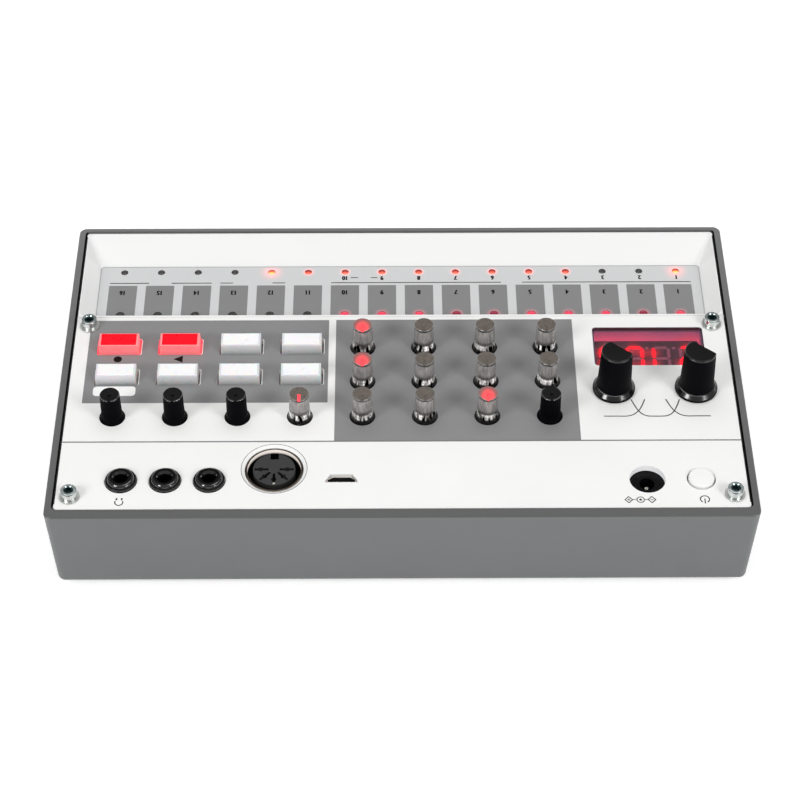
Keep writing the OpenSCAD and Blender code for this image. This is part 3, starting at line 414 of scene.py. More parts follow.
# Painted light and shade on the bore wall of a clear knob: black at its foot, a glowing band just
# above, a dark band near 3 mm, and lighter upwards, all streaked
knob_core_light_and_shade = Shader("knob_core_light_and_shade", (0.3, 0.29, 0.28), 0.4).vary_roughness(1 * MM, 0.05)
CORE_STOPS = [PANEL_Z + h * MM for h in (0.3, 1.0, 2.2, 2.8, 3.3, 4.2, 8.0)]
CORE_PAINTED_SHADES = [
    (0.005, 0.005, 0.005), (0.30, 0.29, 0.28), (0.45, 0.44, 0.43), (0.06, 0.05, 0.045),
    (0.12, 0.105, 0.10), (0.42, 0.40, 0.39), (0.60, 0.585, 0.575),
]
CORE_PAINTED_GLOW = [(0, 0, 0), (0.7, 0.69, 0.68), (1.0, 0.98, 0.97)] + [(0, 0, 0)] * 4
knob_core_light_and_shade.bands(CORE_PAINTED_SHADES, CORE_STOPS, streaks=(0.45 * MM, 0.55, 1.2))
knob_core_light_and_shade.bands(CORE_PAINTED_GLOW, CORE_STOPS, "Z", "Emission Color", (0.7 * MM, -0.6, 1.4))
knob_core_light_and_shade.set("Emission Strength", 0.9)
shaft_clear = Shader(
    "shaft_clear", (0.86, 0.82, 0.79), 0.3, Transmission_Weight=0.8, IOR=1.49
).vary_roughness(1 * MM, 0.04)
knob_disc = Shader("knob_disc", (0.117, 0.099, 0.083), 0.45).vary_colour(0.6 * MM, 0.25)
knob_disc.bump(knob_disc.noise(0.25 * MM), 0.01 * MM)
# The rounded edge of a clear knob's disc is a lighter, polished copy of the disc: partly painted
# highlight, with real glints from the lamps
disc_edge = Shader("disc_edge", (0.24, 0.22, 0.205), 0.1, **POLISHED).vary_roughness(1 * MM, 0.02)
# Painted light: the end wall of the pointer groove glows a little, to lift its shade
groove_end_glow = Shader("groove_end_glow", (0.117, 0.099, 0.083), 0.45).vary_colour(0.6 * MM, 0.25)
groove_end_glow.emit((0.14, 0.12, 0.10), 0.7)
groove_lit = Shader("groove_lit", (0.8, 0.08, 0.10), 0.3).vary_roughness(1 * MM, 0.04)
groove_lit.emit((1.0, 0.03, 0.05), 1.1)
# Prints
# Dark print, also used for the painted shade in the gaps at the case's sides
dark_print_and_shade = Shader("dark_print_and_shade", (0.003, 0.003, 0.003), 0.5, Specular_IOR_Level=0.15)
dark_print_and_shade.vary_roughness(3 * MM, 0.05)
print_grey = Shader("print_grey", (0.235, 0.235, 0.238), 0.36).vary_roughness(6 * MM, 0.05)
print_grey.bump(print_grey.noise(0.25 * MM, 2.0), 0.006 * MM)
print_pad = Shader("print_pad", (0.225, 0.225, 0.228), 0.36).vary_roughness(5 * MM, 0.04)
for step in LIT_PADS:
    print_pad.halo((step_x(step), PAD_LAMP_Y, SHEET_Z), 3.1 * MM, (1.0, 0.09, 0.17), 1.4)
print_rule = Shader("print_rule", (0.19, 0.19, 0.19), 0.4).vary_roughness(3 * MM, 0.05)
print_sign = Shader("print_sign", (0.018, 0.018, 0.019), 0.4).vary_roughness(3 * MM, 0.05)
# Painted shade for the edge of the touch sheet
sheet_rim_shade = Shader("sheet_rim_shade", (0.30, 0.30, 0.31), 0.4).vary_roughness(3 * MM, 0.05)
print_line = Shader("print_line", (0.035, 0.035, 0.036), 0.4).vary_roughness(3 * MM, 0.05)
# Lamps and digits
lamp_off = Shader("lamp_off", (0.05, 0.046, 0.046), 0.3).vary_roughness(1 * MM, 0.05)


def lamp_row(name, base, glow, middle, reach, strength):
    """Lit lamps whose glow changes from front to rear, reach metres each way from the middle."""
    lamp = Shader(name, base, 0.3).vary_roughness(1 * MM, 0.05)
    stops = [middle + share * reach for share in (-1.0, -0.1, 0.3, 1.0)]
    lamp.bands(glow, stops, "Y", "Emission Color")
    lamp.set("Emission Strength", strength)
    return lamp


# Painted shade: the step lamps' glow is dim on their front half, where their holes shade them
lamp_on = lamp_row(
    "lamp_on", (0.10, 0.012, 0.01),
    [(0.16, 0.02, 0.012), (0.30, 0.03, 0.02), (1.0, 0.09, 0.045), (1.0, 0.26, 0.16)],
    STEP_LAMP_Y, STEP_LAMP_R, 1.1,
)
lamp_bright = lamp_row(
    "lamp_bright", (0.2, 0.02, 0.01),
    [(0.35, 0.03, 0.02), (0.6, 0.08, 0.03), (1.0, 0.42, 0.10), (1.0, 0.55, 0.25)],
    STEP_LAMP_Y, STEP_LAMP_R, 1.5,
)
pad_on = lamp_row(
    "pad_on", (0.4, 0.02, 0.04),
    [(1.0, 0.12, 0.20), (0.75, 0.05, 0.11), (0.55, 0.01, 0.045), (0.8, 0.02, 0.06)],
    PAD_LAMP_Y, PAD_LAMP_R, 0.85,
)
pad_dim = lamp_row(
    "pad_dim", (0.12, 0.01, 0.02),
    [(0.55, 0.08, 0.13), (0.22, 0.012, 0.04), (0.15, 0.005, 0.02), (0.3, 0.01, 0.03)],
    PAD_LAMP_Y, PAD_LAMP_R, 0.85,
)
knob_lamp_on = Shader("knob_lamp_on", (0.6, 0.05, 0.05), 0.3).vary_roughness(1 * MM, 0.05)
knob_lamp_on.emit((1.0, 0.03, 0.03), 6.0)
segment_on = Shader("segment_on", (0.3, 0.0, 0.01), 0.4, Specular_IOR_Level=0.05)
segment_on.vary_roughness(1 * MM, 0.03)
segment_on.emit((1.0, 0.002, 0.012), 2.2)
segment_off = Shader("segment_off", (0.34, 0.42, 0.30), 0.35).vary_roughness(1 * MM, 0.03)

# Nodes with one material all over; the others are painted face by face below
FINISH = {
    "battery_door": case_grey,
    "front_tray": white_tray,
    "power_button": white_panel,
    "touch_board": board_green,
    "main_board": board_green,
    "display_module": display_dark,
    "small_pots": pot_metal,
    "isolator_pots": pot_metal,
    "key_lamps": lamp_clear,
    "din_contacts": contact_glint,
    "usb_tongue": jack_black,
    "dc_inlet": jack_black,
    "dc_pin": contact_metal,
    "tact_switches": switch_black,
    "panel_washers": washer_steel,
    "board_screws": screw_steel,
    "rubber_feet": foot_rubber,
    "battery_cells": cell_wrap,
    "battery_springs": spring_steel,
    "battery_plates": spring_steel,
}


def dress(name, *shaders):
    """Gives a CAD node its materials, the first everywhere."""
    mesh = NODES[name].data
    mesh.materials.clear()
    for shader in shaders:
        mesh.materials.append(shader.material)
    for face in mesh.polygons:
        face.material_index = 0
    return mesh


for name, shader in FINISH.items():
    dress(name, shader)


def paint_faces(name, shaders, choose):
    """Gives each face of a node the material that choose(face) picks by number.

    Each choose function's first line names the parts in the order of their numbers, from 0.
    """
    mesh = dress(name, *shaders)
    for face in mesh.polygons:
        face.material_index = choose(face)


# Depths under a top or an edge within which a face still counts as part of it
HAIR, SKIN, THICK_SKIN = 0.05 * MM, 0.1 * MM, 0.3 * MM
RIM_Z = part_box("case")[1].z
FRONT_RIM_Y = -55 * MM
LAMP_HOLES_X = 86 * MM
KEY_BEVEL = 0.33 * MM
KNOB_REACH = 4 * MM
KEY_REACH = (6.5 * MM, 3.4 * MM)
INLET_R = 5.4 * MM
PANEL_EDGE_H = 4 * MM
GAP_DEPTH = 3 * MM
HEAD_H = 1.9 * MM
RECESS_R = 1.35 * MM
ISOLATOR_FLANGE_H = 3.2 * MM
ROUNDED_EDGE = 0.6 * MM


def rim_or_wall(face):
    """Wall, rim top with the front rim's inner side, or the other inner sides, which are in a gap and
    get painted shade.
    """
    if face.normal.z > 0.5 and face.center.z > RIM_Z - THICK_SKIN:
        return 1
    inward = face.normal.x * face.center.x < 0 or face.normal.y * face.center.y < 0
    if not inward or abs(face.normal.z) > 0.5 or face.center.z < PANEL_Z - GAP_DEPTH:
        return 0
    return 1 if face.center.y < FRONT_RIM_Y and abs(face.normal.x) < 0.5 else 2


def key_part(face):
    """Side, bevelled edge or flat top of a key; the side and edge get painted shade."""
    if face.normal.z > 0.99 and face.center.z > KEY_TOP_Z - SKIN:
        return 2
    return 1 if face.center.z > KEY_TOP_Z - KEY_BEVEL else 0


PLATE, HOLE, KEY_GAP, LIT_KEY_GAP, WELL, INLET_WALL = range(6)


def in_opening(face):
    """Plate, knob holes and outer sides in painted shade, key gaps and lit key gaps with painted glow,
    display well with painted light, or power inlet with painted glow.
    """
    x, y, z = face.center
    if WELL_X[0] < x < WELL_X[1] and WELL_Y[0] < y < WELL_Y[1]:
        return WELL if z < PANEL_Z - SKIN else PLATE
    if abs(face.normal.z) > 0.5 or z < PANEL_Z - PANEL_EDGE_H:
        return PLATE
    if abs(x) > PANEL_HALF - HAIR:
        return HOLE
    if math.hypot(x - INLET.x, y - INLET.y) < INLET_R:
        return INLET_WALL
    for column in COLUMNS:
        for row in KNOB_ROWS:
            if math.hypot(x - column, y - row) < KNOB_REACH:
                return HOLE
        for row in KEY_ROWS:
            if abs(x - column) < KEY_REACH[0] and abs(y - row) < KEY_REACH[1]:
                return LIT_KEY_GAP if row < 0 and column in COLUMNS[:2] else KEY_GAP
    return PLATE


def in_lamp_hole(face):
    """Sheet, or the wall of one of its lamp holes, in painted shade."""
    return 1 if abs(face.normal.z) < 0.5 and abs(face.center.x) < LAMP_HOLES_X else 0


def window_side(face):
    """Top and underside of the window, or its narrow sides."""
    return 1 if abs(face.normal.z) < 0.5 else 0


def inner_wall(middle):
    """The choose function for a ring round a middle."""

    def choose(face):
        """The rest, or the faces that look towards the middle line of a round piece."""
        out = Vector((face.center.x - middle[0], face.center.y - middle[1], 0))
        return 1 if face.normal.dot(out) < 0 and abs(face.normal.z) < 0.5 else 0

    return choose


def black_knob_part(name):
    """The choose function for one black knob."""
    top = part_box(name)[1].z
    flange = PANEL_Z + (ISOLATOR_FLANGE_H if name in ISOLATORS else 0)

    def choose(face):
        """Side, flat top or polished edge of a black knob."""
        if face.normal.z > 0.12 and face.center.z < flange:
            return 2
        if face.normal.z > 0.95:
            return 1
        return 2 if face.normal.z > 0.12 and face.center.z > top - ROUNDED_EDGE else 0

    return choose


def jack_part(face):
    """Body or polished round edge of a jack's nose."""
    return 1 if 0.12 < face.normal.z < 0.97 else 0


def screw_part(face):
    """Side, flat top or hex recess of a cap screw; the recess gets painted shade."""
    reach = min((spot - face.center.to_2d()).length for spot in SCREWS)
    if face.center.z < SCREW_TOP - HEAD_H:
        return 0
    if reach < RECESS_R and face.center.z < SCREW_TOP - HAIR:
        return 2
    return 1 if face.normal.z > 0.5 else 0


def insert_part(face):
    """Face of the DIN socket's insert, or the walls of its slots and sides, in painted shade."""
    return 0 if face.normal.z > 0.9 else 1


def shell_part(face):
    """Outside, top edge or inner wall of the metal ring of the DIN socket; the top edge gets painted
    shade and the inner wall painted light and shade.
    """
    if face.normal.z > 0.5 and face.center.z > DIN_TOP - THICK_SKIN:
        return 1
    return 2 if inner_wall(DIN_MIDDLE)(face) else 0


def middle_of(name):
    """The middle of a node's box."""
    low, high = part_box(name)
    return (low + high) / 2


screw_low, screw_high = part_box("panel_screws")
SCREW_TOP = screw_high.z
SCREW_R = 2.25 * MM
SCREWS = [
    Vector((x, y))
    for x in (screw_low.x + SCREW_R, screw_high.x - SCREW_R)
    for y in (screw_low.y + SCREW_R, screw_high.y - SCREW_R)
]
PANEL_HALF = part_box("control_panel")[1].x
window_low, window_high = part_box("display_window")
WINDOW_GAP = 0.2 * MM
WELL_X = (window_low.x - WINDOW_GAP, window_high.x + WINDOW_GAP)
WELL_Y = (window_low.y - WINDOW_GAP, window_high.y)
INLET = middle_of("dc_pin")
paint_faces("case", (case_grey, rim_grey, opening_shade), rim_or_wall)
PANEL_LOOKS = (white_panel, opening_shade, key_gap_glow, key_gap_red_glow, well_light_and_shade, inlet_glow)
paint_faces("control_panel", PANEL_LOOKS, in_opening)
for name in ("phones_jack", "sync_out_jack", "sync_in_jack"):
    paint_faces(name, (jack_black, jack_edge), jack_part)
paint_faces("touch_sheet", (sheet_grey, lamp_hole_shade), in_lamp_hole)
paint_faces("display_window", (window_red, window_edge), window_side)
paint_faces("panel_screws", (screw_steel, screw_top, recess_shade), screw_part)
for name in BLACK_KNOBS:
    paint_faces(name, (knob_black, knob_black_top, knob_black_edge), black_knob_part(name))
for name in ISOLATORS:
    paint_faces(name, (knob_black, knob_black_top, isolator_edge), black_knob_part(name))
DIN_MIDDLE = middle_of("din_shell")
DIN_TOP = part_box("din_shell")[1].z
paint_faces("din_insert", (insert_grey, opening_shade), insert_part)
# The inner wall of the USB shell gets painted shade
paint_faces("usb_shell", (socket_steel, opening_shade), inner_wall(middle_of("usb_shell")))
paint_faces("din_shell", (socket_steel, shell_top_shade, shell_inside_light_and_shade), shell_part)
for row in KEYS:
    for name in row:
        paint_faces(name, LIT_KEY_LOOK if name in LIT_KEYS else KEY_LOOK, key_part)


def islands(mesh):
    """Face indices of each separate solid, found from vertices that share a place."""
    places = {}
    parent = []
    vertex_at = []
    for vertex in mesh.vertices:
        key = tuple(round(c * 1e6) for c in vertex.co)
        if key not in places:
            places[key] = len(parent)
            parent.append(places[key])
        vertex_at.append(places[key])

    def root(i):
        while parent[i] != i:
            parent[i] = parent[parent[i]]
            i = parent[i]
        return i

    for face in mesh.polygons:
        first = root(vertex_at[face.vertices[0]])
        for v in face.vertices[1:]:
            parent[root(vertex_at[v])] = first
    groups = {}
    for face in mesh.polygons:
        groups.setdefault(root(vertex_at[face.vertices[0]]), []).append(face.index)
    return list(groups.values())


def paint_solids(name, shaders, choose):
    """Gives each solid of a node the material that choose(its middle) picks by number."""
    mesh = dress(name, *shaders)
    for faces in islands(mesh):
        middle = sum((mesh.polygons[i].center for i in faces), Vector()) / len(faces)
        pick = choose(middle)
        for i in faces:
            mesh.polygons[i].material_index = pick


CAP, SHAFT, DISC, GROOVE, FROSTED, CORE, DISC_EDGE, UNDERSIDE, GROOVE_END_GLOW = range(9)
GROOVE_DEPTH = 0.4 * MM
HUB_R = 1 * MM
SKIRT_H = 1.5 * MM
LAMP_BEHIND, LAMP_REACH = 1.3 * MM, 3.3 * MM


def dress_clear_knob(name):
    """Clear cap with a brownish disc on top, round a clear shaft; its bore wall, underside and groove
    end carry painted light and shade.
    """
    middle, high = middle_of(name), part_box(name)[1]
    disc, groove = knob_disc, knob_disc
    if name == "tempo_knob":
        groove = groove_lit
    if name in LIT_KNOBS:
        disc = Shader("disc_" + name, (0.6, 0.08, 0.09), 0.35).vary_roughness(1 * MM, 0.04)
        disc.glow_from(
            (middle.x, middle.y + LAMP_BEHIND, high.z), LAMP_REACH,
            near=(0.7, 0.06, 0.07), far=(0.22, 0.11, 0.10),
            near_glow=(1.0, 0.06, 0.07), far_glow=(0.14, 0.02, 0.022), strength=0.66,
        )
        groove = disc
    looks = (knob_clear, shaft_clear, disc, groove, knob_frosted, knob_core_light_and_shade)
    mesh = dress(name, *looks, disc_edge, underside_shade, groove_end_glow)
    solids = islands(mesh)
    shaft = min(solids, key=lambda faces: min(mesh.polygons[i].center.z for i in faces))
    inside = inner_wall(middle)
    for faces in solids:
        for i in faces:
            face = mesh.polygons[i]
            up, depth = face.normal.z, high.z - face.center.z
            reach = (face.center - middle).to_2d().length
            if faces is shaft:
                face.material_index = SHAFT
            elif up > 0.9 and depth < SKIN:
                face.material_index = DISC
            # The underside gets painted shade
            elif up < -0.3:
                face.material_index = UNDERSIDE
            elif depth < GROOVE_DEPTH and (up > 0.9 or inside(face) or reach < HUB_R):
                # The end wall of an unlit knob's groove gets a painted glow
                painted_glow_end = groove is knob_disc and up < 0.5
                face.material_index = GROOVE_END_GLOW if painted_glow_end else GROOVE
            elif depth < GROOVE_DEPTH and up > 0.1:
                face.material_index = DISC_EDGE
            elif inside(face):
                face.material_index = CORE
            elif abs(up) < 0.3 and face.center.z > PANEL_Z + SKIRT_H:
                face.material_index = FROSTED
            else:
                face.material_index = CAP


for name in CLEAR_KNOBS:
    dress_clear_knob(name)

LAMP_SHADERS = (lamp_off, lamp_on, lamp_bright, pad_on, pad_dim)
OFF, STEP_ON, STEP_BRIGHT, PAD_ON, PAD_DIM = range(5)
STEP_STATE = {**dict.fromkeys(BRIGHT_STEPS, STEP_BRIGHT), **dict.fromkeys(LIT_STEPS, STEP_ON)}
PAD_STATE = {**dict.fromkeys(LIT_PADS, PAD_ON), **dict.fromkeys(DIM_PADS, PAD_DIM)}


def step_of(place):
    """The number of the step that a place across the machine belongs to."""
    return round(place.x / STEP_PITCH + MIDDLE_STEP)


paint_solids("step_lamps", LAMP_SHADERS, lambda p: STEP_STATE.get(step_of(p), OFF))
paint_solids("pad_lamps", LAMP_SHADERS, lambda p: PAD_STATE.get(step_of(p), OFF))
LIT_SPOTS = [middle_of(name) for name in LIT_KNOBS]


def knob_lamp_state(place):
    """Off, or on under a lit knob."""
    return int(any((place - spot).to_2d().length < 1 * MM for spot in LIT_SPOTS))


paint_solids("knob_lamps", (lamp_clear, knob_lamp_on), knob_lamp_state)


# ---------------------------------------------------------------- printed marks, and painted shade at the sheet's edge and the case's sides


def add_piece(name, mesh, shader):
    """Adds a mesh to the scene as a piece that rides on the machine."""
    piece = bpy.data.objects.new(name, mesh)
    bpy.context.scene.collection.objects.link(piece)
    mesh.materials.clear()
    mesh.materials.append(shader.material)
    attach(piece, MACHINE)


def to_mesh(thing, name):
    """The mesh of a curve or text object, which is then removed."""
    bpy.context.scene.collection.objects.link(thing)
    bpy.context.view_layer.update()
    graph = bpy.context.evaluated_depsgraph_get()
    mesh = bpy.data.meshes.new_from_object(thing.evaluated_get(graph))
    mesh.transform(thing.matrix_world)
    mesh.name = name
    bpy.data.objects.remove(thing)
    return mesh


def circle_loop(x, y, r, count=48):
    """A circle round a point, as a loop of count points."""
    return [
        (x + r * math.cos(2 * math.pi * i / count), y + r * math.sin(2 * math.pi * i / count))
        for i in range(count)
    ]


CORNER_STEPS = 6


def box_loop(x0, y0, x1, y1, r=0.0):
    """A rectangle, its corners rounded by r."""
    if r <= 0:
        return [(x0, y0), (x1, y0), (x1, y1), (x0, y1)]
    loop = []
    low_x, high_x, low_y, high_y = x0 + r, x1 - r, y0 + r, y1 - r
    corners = ((high_x, low_y, -90), (high_x, high_y, 0), (low_x, high_y, 90), (low_x, low_y, 180))
    for cx, cy, start in corners:
        for i in range(CORNER_STEPS + 1):
            a = math.radians(start + 90 * i / CORNER_STEPS)
            loop.append((cx + r * math.cos(a), cy + r * math.sin(a)))
    return loop


PRINT_THICK = 0.02 * MM


def flat_mesh(name, loops, z, thick=PRINT_THICK):
    """Flat print with the outlines and holes in loops, in millimetres, its top thick above z."""
    data = bpy.data.curves.new(name, "CURVE")
    data.dimensions = "2D"
    data.fill_mode = "BOTH"
    data.extrude = thick
    for loop in loops:
        line = data.splines.new("POLY")
        line.points.add(len(loop) - 1)
        for point, (x, y) in zip(line.points, loop):
            point.co = (x * MM, y * MM, 0, 1)
        line.use_cyclic_u = True
    thing = bpy.data.objects.new(name, data)
    thing.location.z = z
    return to_mesh(thing, name)


def join_meshes(name, meshes):
    """One mesh made of several, which are then removed."""
    joined = bmesh.new()
    for mesh in meshes:
        joined.from_mesh(mesh)
        bpy.data.meshes.remove(mesh)
    result = bpy.data.meshes.new(name)
    joined.to_mesh(result)
    joined.free()
    return result


CAP_SHARE = 0.7
NUMERAL_STRETCH = 0.7
BOLD_SHIFT = 0.11
BOLD_OFFSET = 0.03 * MM


def text_mesh(text, x, y, z, height):
    """Plain narrow numerals round a point in millimetres, made bold by three shifted layers."""
    layers = []
    for k in (-1, 0, 1):
        data = bpy.data.curves.new("numerals", "FONT")
        data.body = text
        data.align_x = "CENTER"
        data.align_y = "CENTER"
        data.size = height / CAP_SHARE * MM
        data.extrude = PRINT_THICK
        data.offset = BOLD_OFFSET
        thing = bpy.data.objects.new("numerals", data)
        thing.location = ((x + BOLD_SHIFT * k) * MM, y * MM, z + 0.001 * MM * k)
        thing.scale = (NUMERAL_STRETCH, 1, 1)
        layers.append(to_mesh(thing, "numerals"))
    return join_meshes("numerals", layers)


# Places and sizes of the prints, in millimetres
KNOB_HOLE_R = 3.66
KEY_CLEARANCE = 0.41
KEY_HOLE = (11.8 / 2 + KEY_CLEARANCE, 5.6 / 2 + KEY_CLEARANCE)
KEY_MARGIN = 0.22
KEY_HOLE_CORNER = 0.7


def mm(value):
    """Metres as millimetres, in which the prints are drawn."""
    return value / MM


MATRIX_FIELD = (-49.75, -18.45, 18.8, 29.45)
KEY_FIELD = (20.85, -18.4, 90.0, 14.75)
WHITE_LABEL, LABEL_CORNER = (75.25, 8.2, 87.25, 11.95), 1.1
RULE = (-94.3, 29.4, 94.3, 29.85)
matrix_loops = [box_loop(*MATRIX_FIELD)]
matrix_loops += [circle_loop(mm(x), mm(y), KNOB_HOLE_R) for x in COLUMNS[4:] for y in KNOB_ROWS]
add_piece("matrix_field", flat_mesh("matrix_field", matrix_loops, PANEL_Z), print_grey)

key_holes = [
    box_loop(
        mm(x) - KEY_HOLE[0] - KEY_MARGIN, mm(y) - KEY_HOLE[1],
        mm(x) + KEY_HOLE[0], mm(y) + KEY_HOLE[1], KEY_HOLE_CORNER,
    )
    for x in COLUMNS[:4]
    for y in KEY_ROWS
]
key_loops = [box_loop(*KEY_FIELD)] + key_holes + [box_loop(*WHITE_LABEL, LABEL_CORNER)]
add_piece("key_field", flat_mesh("key_field", key_loops, PANEL_Z), print_grey)
add_piece("rule", flat_mesh("rule", [box_loop(*RULE)], PANEL_Z), print_rule)

PAD_HALF_W = 4.22
PAD_FRONT, PAD_REAR = -38.4, -22.3
PAD_HOLE_R = 1.28
PAD_NUMERAL_Y, PAD_NUMERAL_H = -35.4, 1.78
STEP_NUMERAL_Y, STEP_NUMERAL_H = -41.6, 1.66
pads, numerals = [], []
for step in range(1, 17):
    x = mm(step_x(step))
    outline = box_loop(x - PAD_HALF_W, PAD_FRONT, x + PAD_HALF_W, PAD_REAR)
    hole = circle_loop(x, mm(PAD_LAMP_Y), PAD_HOLE_R, 32)
    pads.append(flat_mesh("pad", [outline, hole], SHEET_Z))
    numerals.append(text_mesh(str(step), x, PAD_NUMERAL_Y, SHEET_Z + PRINT_THICK, PAD_NUMERAL_H))
    if step <= 10:
        numerals.append(text_mesh(str(step), x, STEP_NUMERAL_Y, SHEET_Z, STEP_NUMERAL_H))
add_piece("pads", join_meshes("pads", pads), print_pad)
add_piece("sheet_numerals", join_meshes("sheet_numerals", numerals), dark_print_and_shade)


def bar_loop(x0, x1, y, width):
    """A bar along X whose middle line is at y."""
    return box_loop(min(x0, x1), y - width / 2, max(x0, x1), y + width / 2)


# Lines between the step numbers and the pads, with gaps where words stand on the real one
BRACKET_Y, BRACKET_WIDTH = -39.5, 0.32
DASH_Y, DASH_WIDTH = -41.7, 0.3
BRACKETS = [(86.8, 75.1), (68.4, 56.4), (53.8, 50.0), (38.2, 34.4), (20.7, -30.1), (-36.4, -86.9)]
DASHES = [(14.9, 12.7), (8.8, 6.9)]
sheet_loops = [bar_loop(a, b, BRACKET_Y, BRACKET_WIDTH) for a, b in BRACKETS]
sheet_loops += [bar_loop(a, b, DASH_Y, DASH_WIDTH) for a, b in DASHES]
add_piece("sheet_lines", flat_mesh("sheet_lines", sheet_loops, SHEET_Z), print_line)

# Painted shade along the edge of the sheet, where it meets the tray, wider at the front and the sides
sheet_low, sheet_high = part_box("touch_sheet")
x0, y0, x1, y1 = (mm(v) for v in (sheet_low.x, sheet_low.y, sheet_high.x, sheet_high.y))
edge_outer = box_loop(x0 + 0.02, y0 + 0.02, x1 - 0.02, y1 - 0.02, 0.95)
edge_inner = box_loop(x0 + 0.2, y0 + 0.25, x1 - 0.2, y1 - 0.1, 0.8)
sheet_edge_shade = flat_mesh("sheet_edge_shade", [edge_outer, edge_inner], SHEET_Z, PRINT_THICK / 2)
add_piece("sheet_edge_shade", sheet_edge_shade, sheet_rim_shade)


def stroke_mesh(name, lines, z, width):
    """Printed lines of one width along smooth open paths, in millimetres."""
    meshes = []
    for line in lines:
        smooth = smooth_path(line)
        left, right_side = [], []
        for k, point in enumerate(smooth):
            before, after = smooth[max(0, k - 1)], smooth[min(len(smooth) - 1, k + 1)]
            dx, dy = after[0] - before[0], after[1] - before[1]
            length = math.hypot(dx, dy)
            nx, ny = -dy / length * width / 2, dx / length * width / 2
            left.append((point[0] + nx, point[1] + ny))
            right_side.append((point[0] - nx, point[1] - ny))
        # Each line lies a hair above the one before it, so that crossing lines don't share a face
        lift = len(meshes) * 0.002 * MM
        meshes.append(flat_mesh(name, [left + right_side[::-1]], z + lift))
    return join_meshes(name, meshes)


def smooth_path(points, steps=6):
    """Catmull-Rom path through the points."""
    path = []
    padded = [points[0]] + list(points) + [points[-1]]
    for k in range(1, len(padded) - 2):
        p0, p1, p2, p3 = padded[k - 1 : k + 3]
        for i in range(steps):
            t = i / steps
            path.append(
                tuple(
                    0.5
                    * (
                        2 * b
                        + (c - a) * t
                        + (2 * a - 5 * b + 4 * c - d) * t * t
                        + (3 * b - a - 3 * c + d) * t**3
                    )
                    for a, b, c, d in zip(p0, p1, p2, p3)
                )
            )
    path.append(tuple(points[-1]))
    return path


# Crossover curves of the isolator: two shelves and a band between them
BAND_X, CURVE_Y, CURVE_WIDTH = -71.54, 20.42, 0.33
SHELF = [(11.5, CURVE_Y), (8.5, CURVE_Y), (6.8, 19.95), (5.7, 19.1), (4.75, 18.0)]
SHELF += [(3.85, 16.2), (2.95, 13.9)]
BAND = [(-6.85, 14.0), (-6.1, 16.0), (-5.15, 18.2), (-4.2, 19.45), (-3.2, 20.15), (-1.9, 20.45)]
curves = [
    [(BAND_X + 14.9, CURVE_Y)] + [(BAND_X + x, y) for x, y in SHELF],
    [(BAND_X - 15.1, CURVE_Y)] + [(BAND_X - x, y) for x, y in SHELF],
    [(BAND_X + x, y) for x, y in BAND] + [(BAND_X - x, y) for x, y in BAND[::-1]],
]
curve_mesh = stroke_mesh("isolator_curves", curves, PANEL_Z, CURVE_WIDTH)
add_piece("isolator_curves", curve_mesh, print_line)

# Signs of the record and play keys, behind those keys
record_mark = circle_loop(81.2, -2.6, 1.2, 32)
play_mark = [(62.6, -3.95), (65.3, -2.6), (62.6, -1.25)]
marks = [flat_mesh("mark", [loop], PANEL_Z + PRINT_THICK) for loop in (record_mark, play_mark)]
add_piece("key_marks", join_meshes("key_marks", marks), dark_print_and_shade)


def arc_points(x, y, r, start, end, count=14):
    """Points on an arc, its angles counted from the +X axis in degrees."""
    turn = [math.radians(start + (end - start) * i / count) for i in range(count + 1)]
    return [(x + r * math.cos(a), y + r * math.sin(a)) for a in turn]


def diamond(x, y, w, h):
    """A diamond round a point, with half width w and half height h."""
    return [(x - w, y), (x, y - h), (x + w, y), (x, y + h)]


# Plain signs by the sockets: headphones, polarity of the power plug, standby
HEADPHONE_X, STANDBY_X, SIGN_Y = 76.73, -82.0, 51.53
POLE_X = (-61.35, -67.62)
PLUG_X = -64.57
sign_lines = [
    arc_points(HEADPHONE_X, 51.85, 1.08, -28, 208),
    [(STANDBY_X, 51.25), (STANDBY_X, 53.0)],
    arc_points(STANDBY_X, 51.45, 1.22, 122, 418),
]
ear_middles = (HEADPHONE_X + 0.71, HEADPHONE_X - 0.71)
sign_loops = [[box_loop(x - 0.24, 50.3, x + 0.24, 51.1, 0.2) for x in ear_middles]]
for x in POLE_X:
    sign_loops.append([diamond(x, SIGN_Y, 1.22, 1.3), diamond(x, SIGN_Y, 0.86, 0.92)])
    sign_loops.append([bar_loop(x - 0.4, x + 0.4, SIGN_Y, 0.2)])
plus_upright = [box_loop(POLE_X[0] - 0.1, SIGN_Y - 0.4, POLE_X[0] + 0.1, SIGN_Y + 0.4)]
sign_loops.append(plus_upright)
sign_loops.append([circle_loop(PLUG_X, SIGN_Y, 1.12, 32), circle_loop(PLUG_X, SIGN_Y, 0.86, 32)])
sign_loops.append([circle_loop(PLUG_X, SIGN_Y, 0.38, 24)])
sign_loops += [[bar_loop(a, b, SIGN_Y, 0.2)] for a, b in ((-63.4, -62.55), (-66.45, -65.7))]
signs = [stroke_mesh("sign", sign_lines, PANEL_Z, 0.3)]
for loops in sign_loops:
    # The upright of the plus is a hair thinner, so that the two bars don't share a face
    thick = 0.95 * PRINT_THICK if loops is plus_upright else PRINT_THICK
    signs.append(flat_mesh("sign", loops, PANEL_Z, thick))
add_piece("panel_signs", join_meshes("panel_signs", signs), print_sign)

# Fine line round the bevel of the DIN opening
DIN_LINE_R = (9.13, 8.99)
din_ring = [circle_loop(mm(DIN_MIDDLE.x), mm(DIN_MIDDLE.y), r, 96) for r in DIN_LINE_R]
add_piece("din_ring", flat_mesh("din_ring", din_ring, PANEL_Z, PRINT_THICK / 2), print_sign)

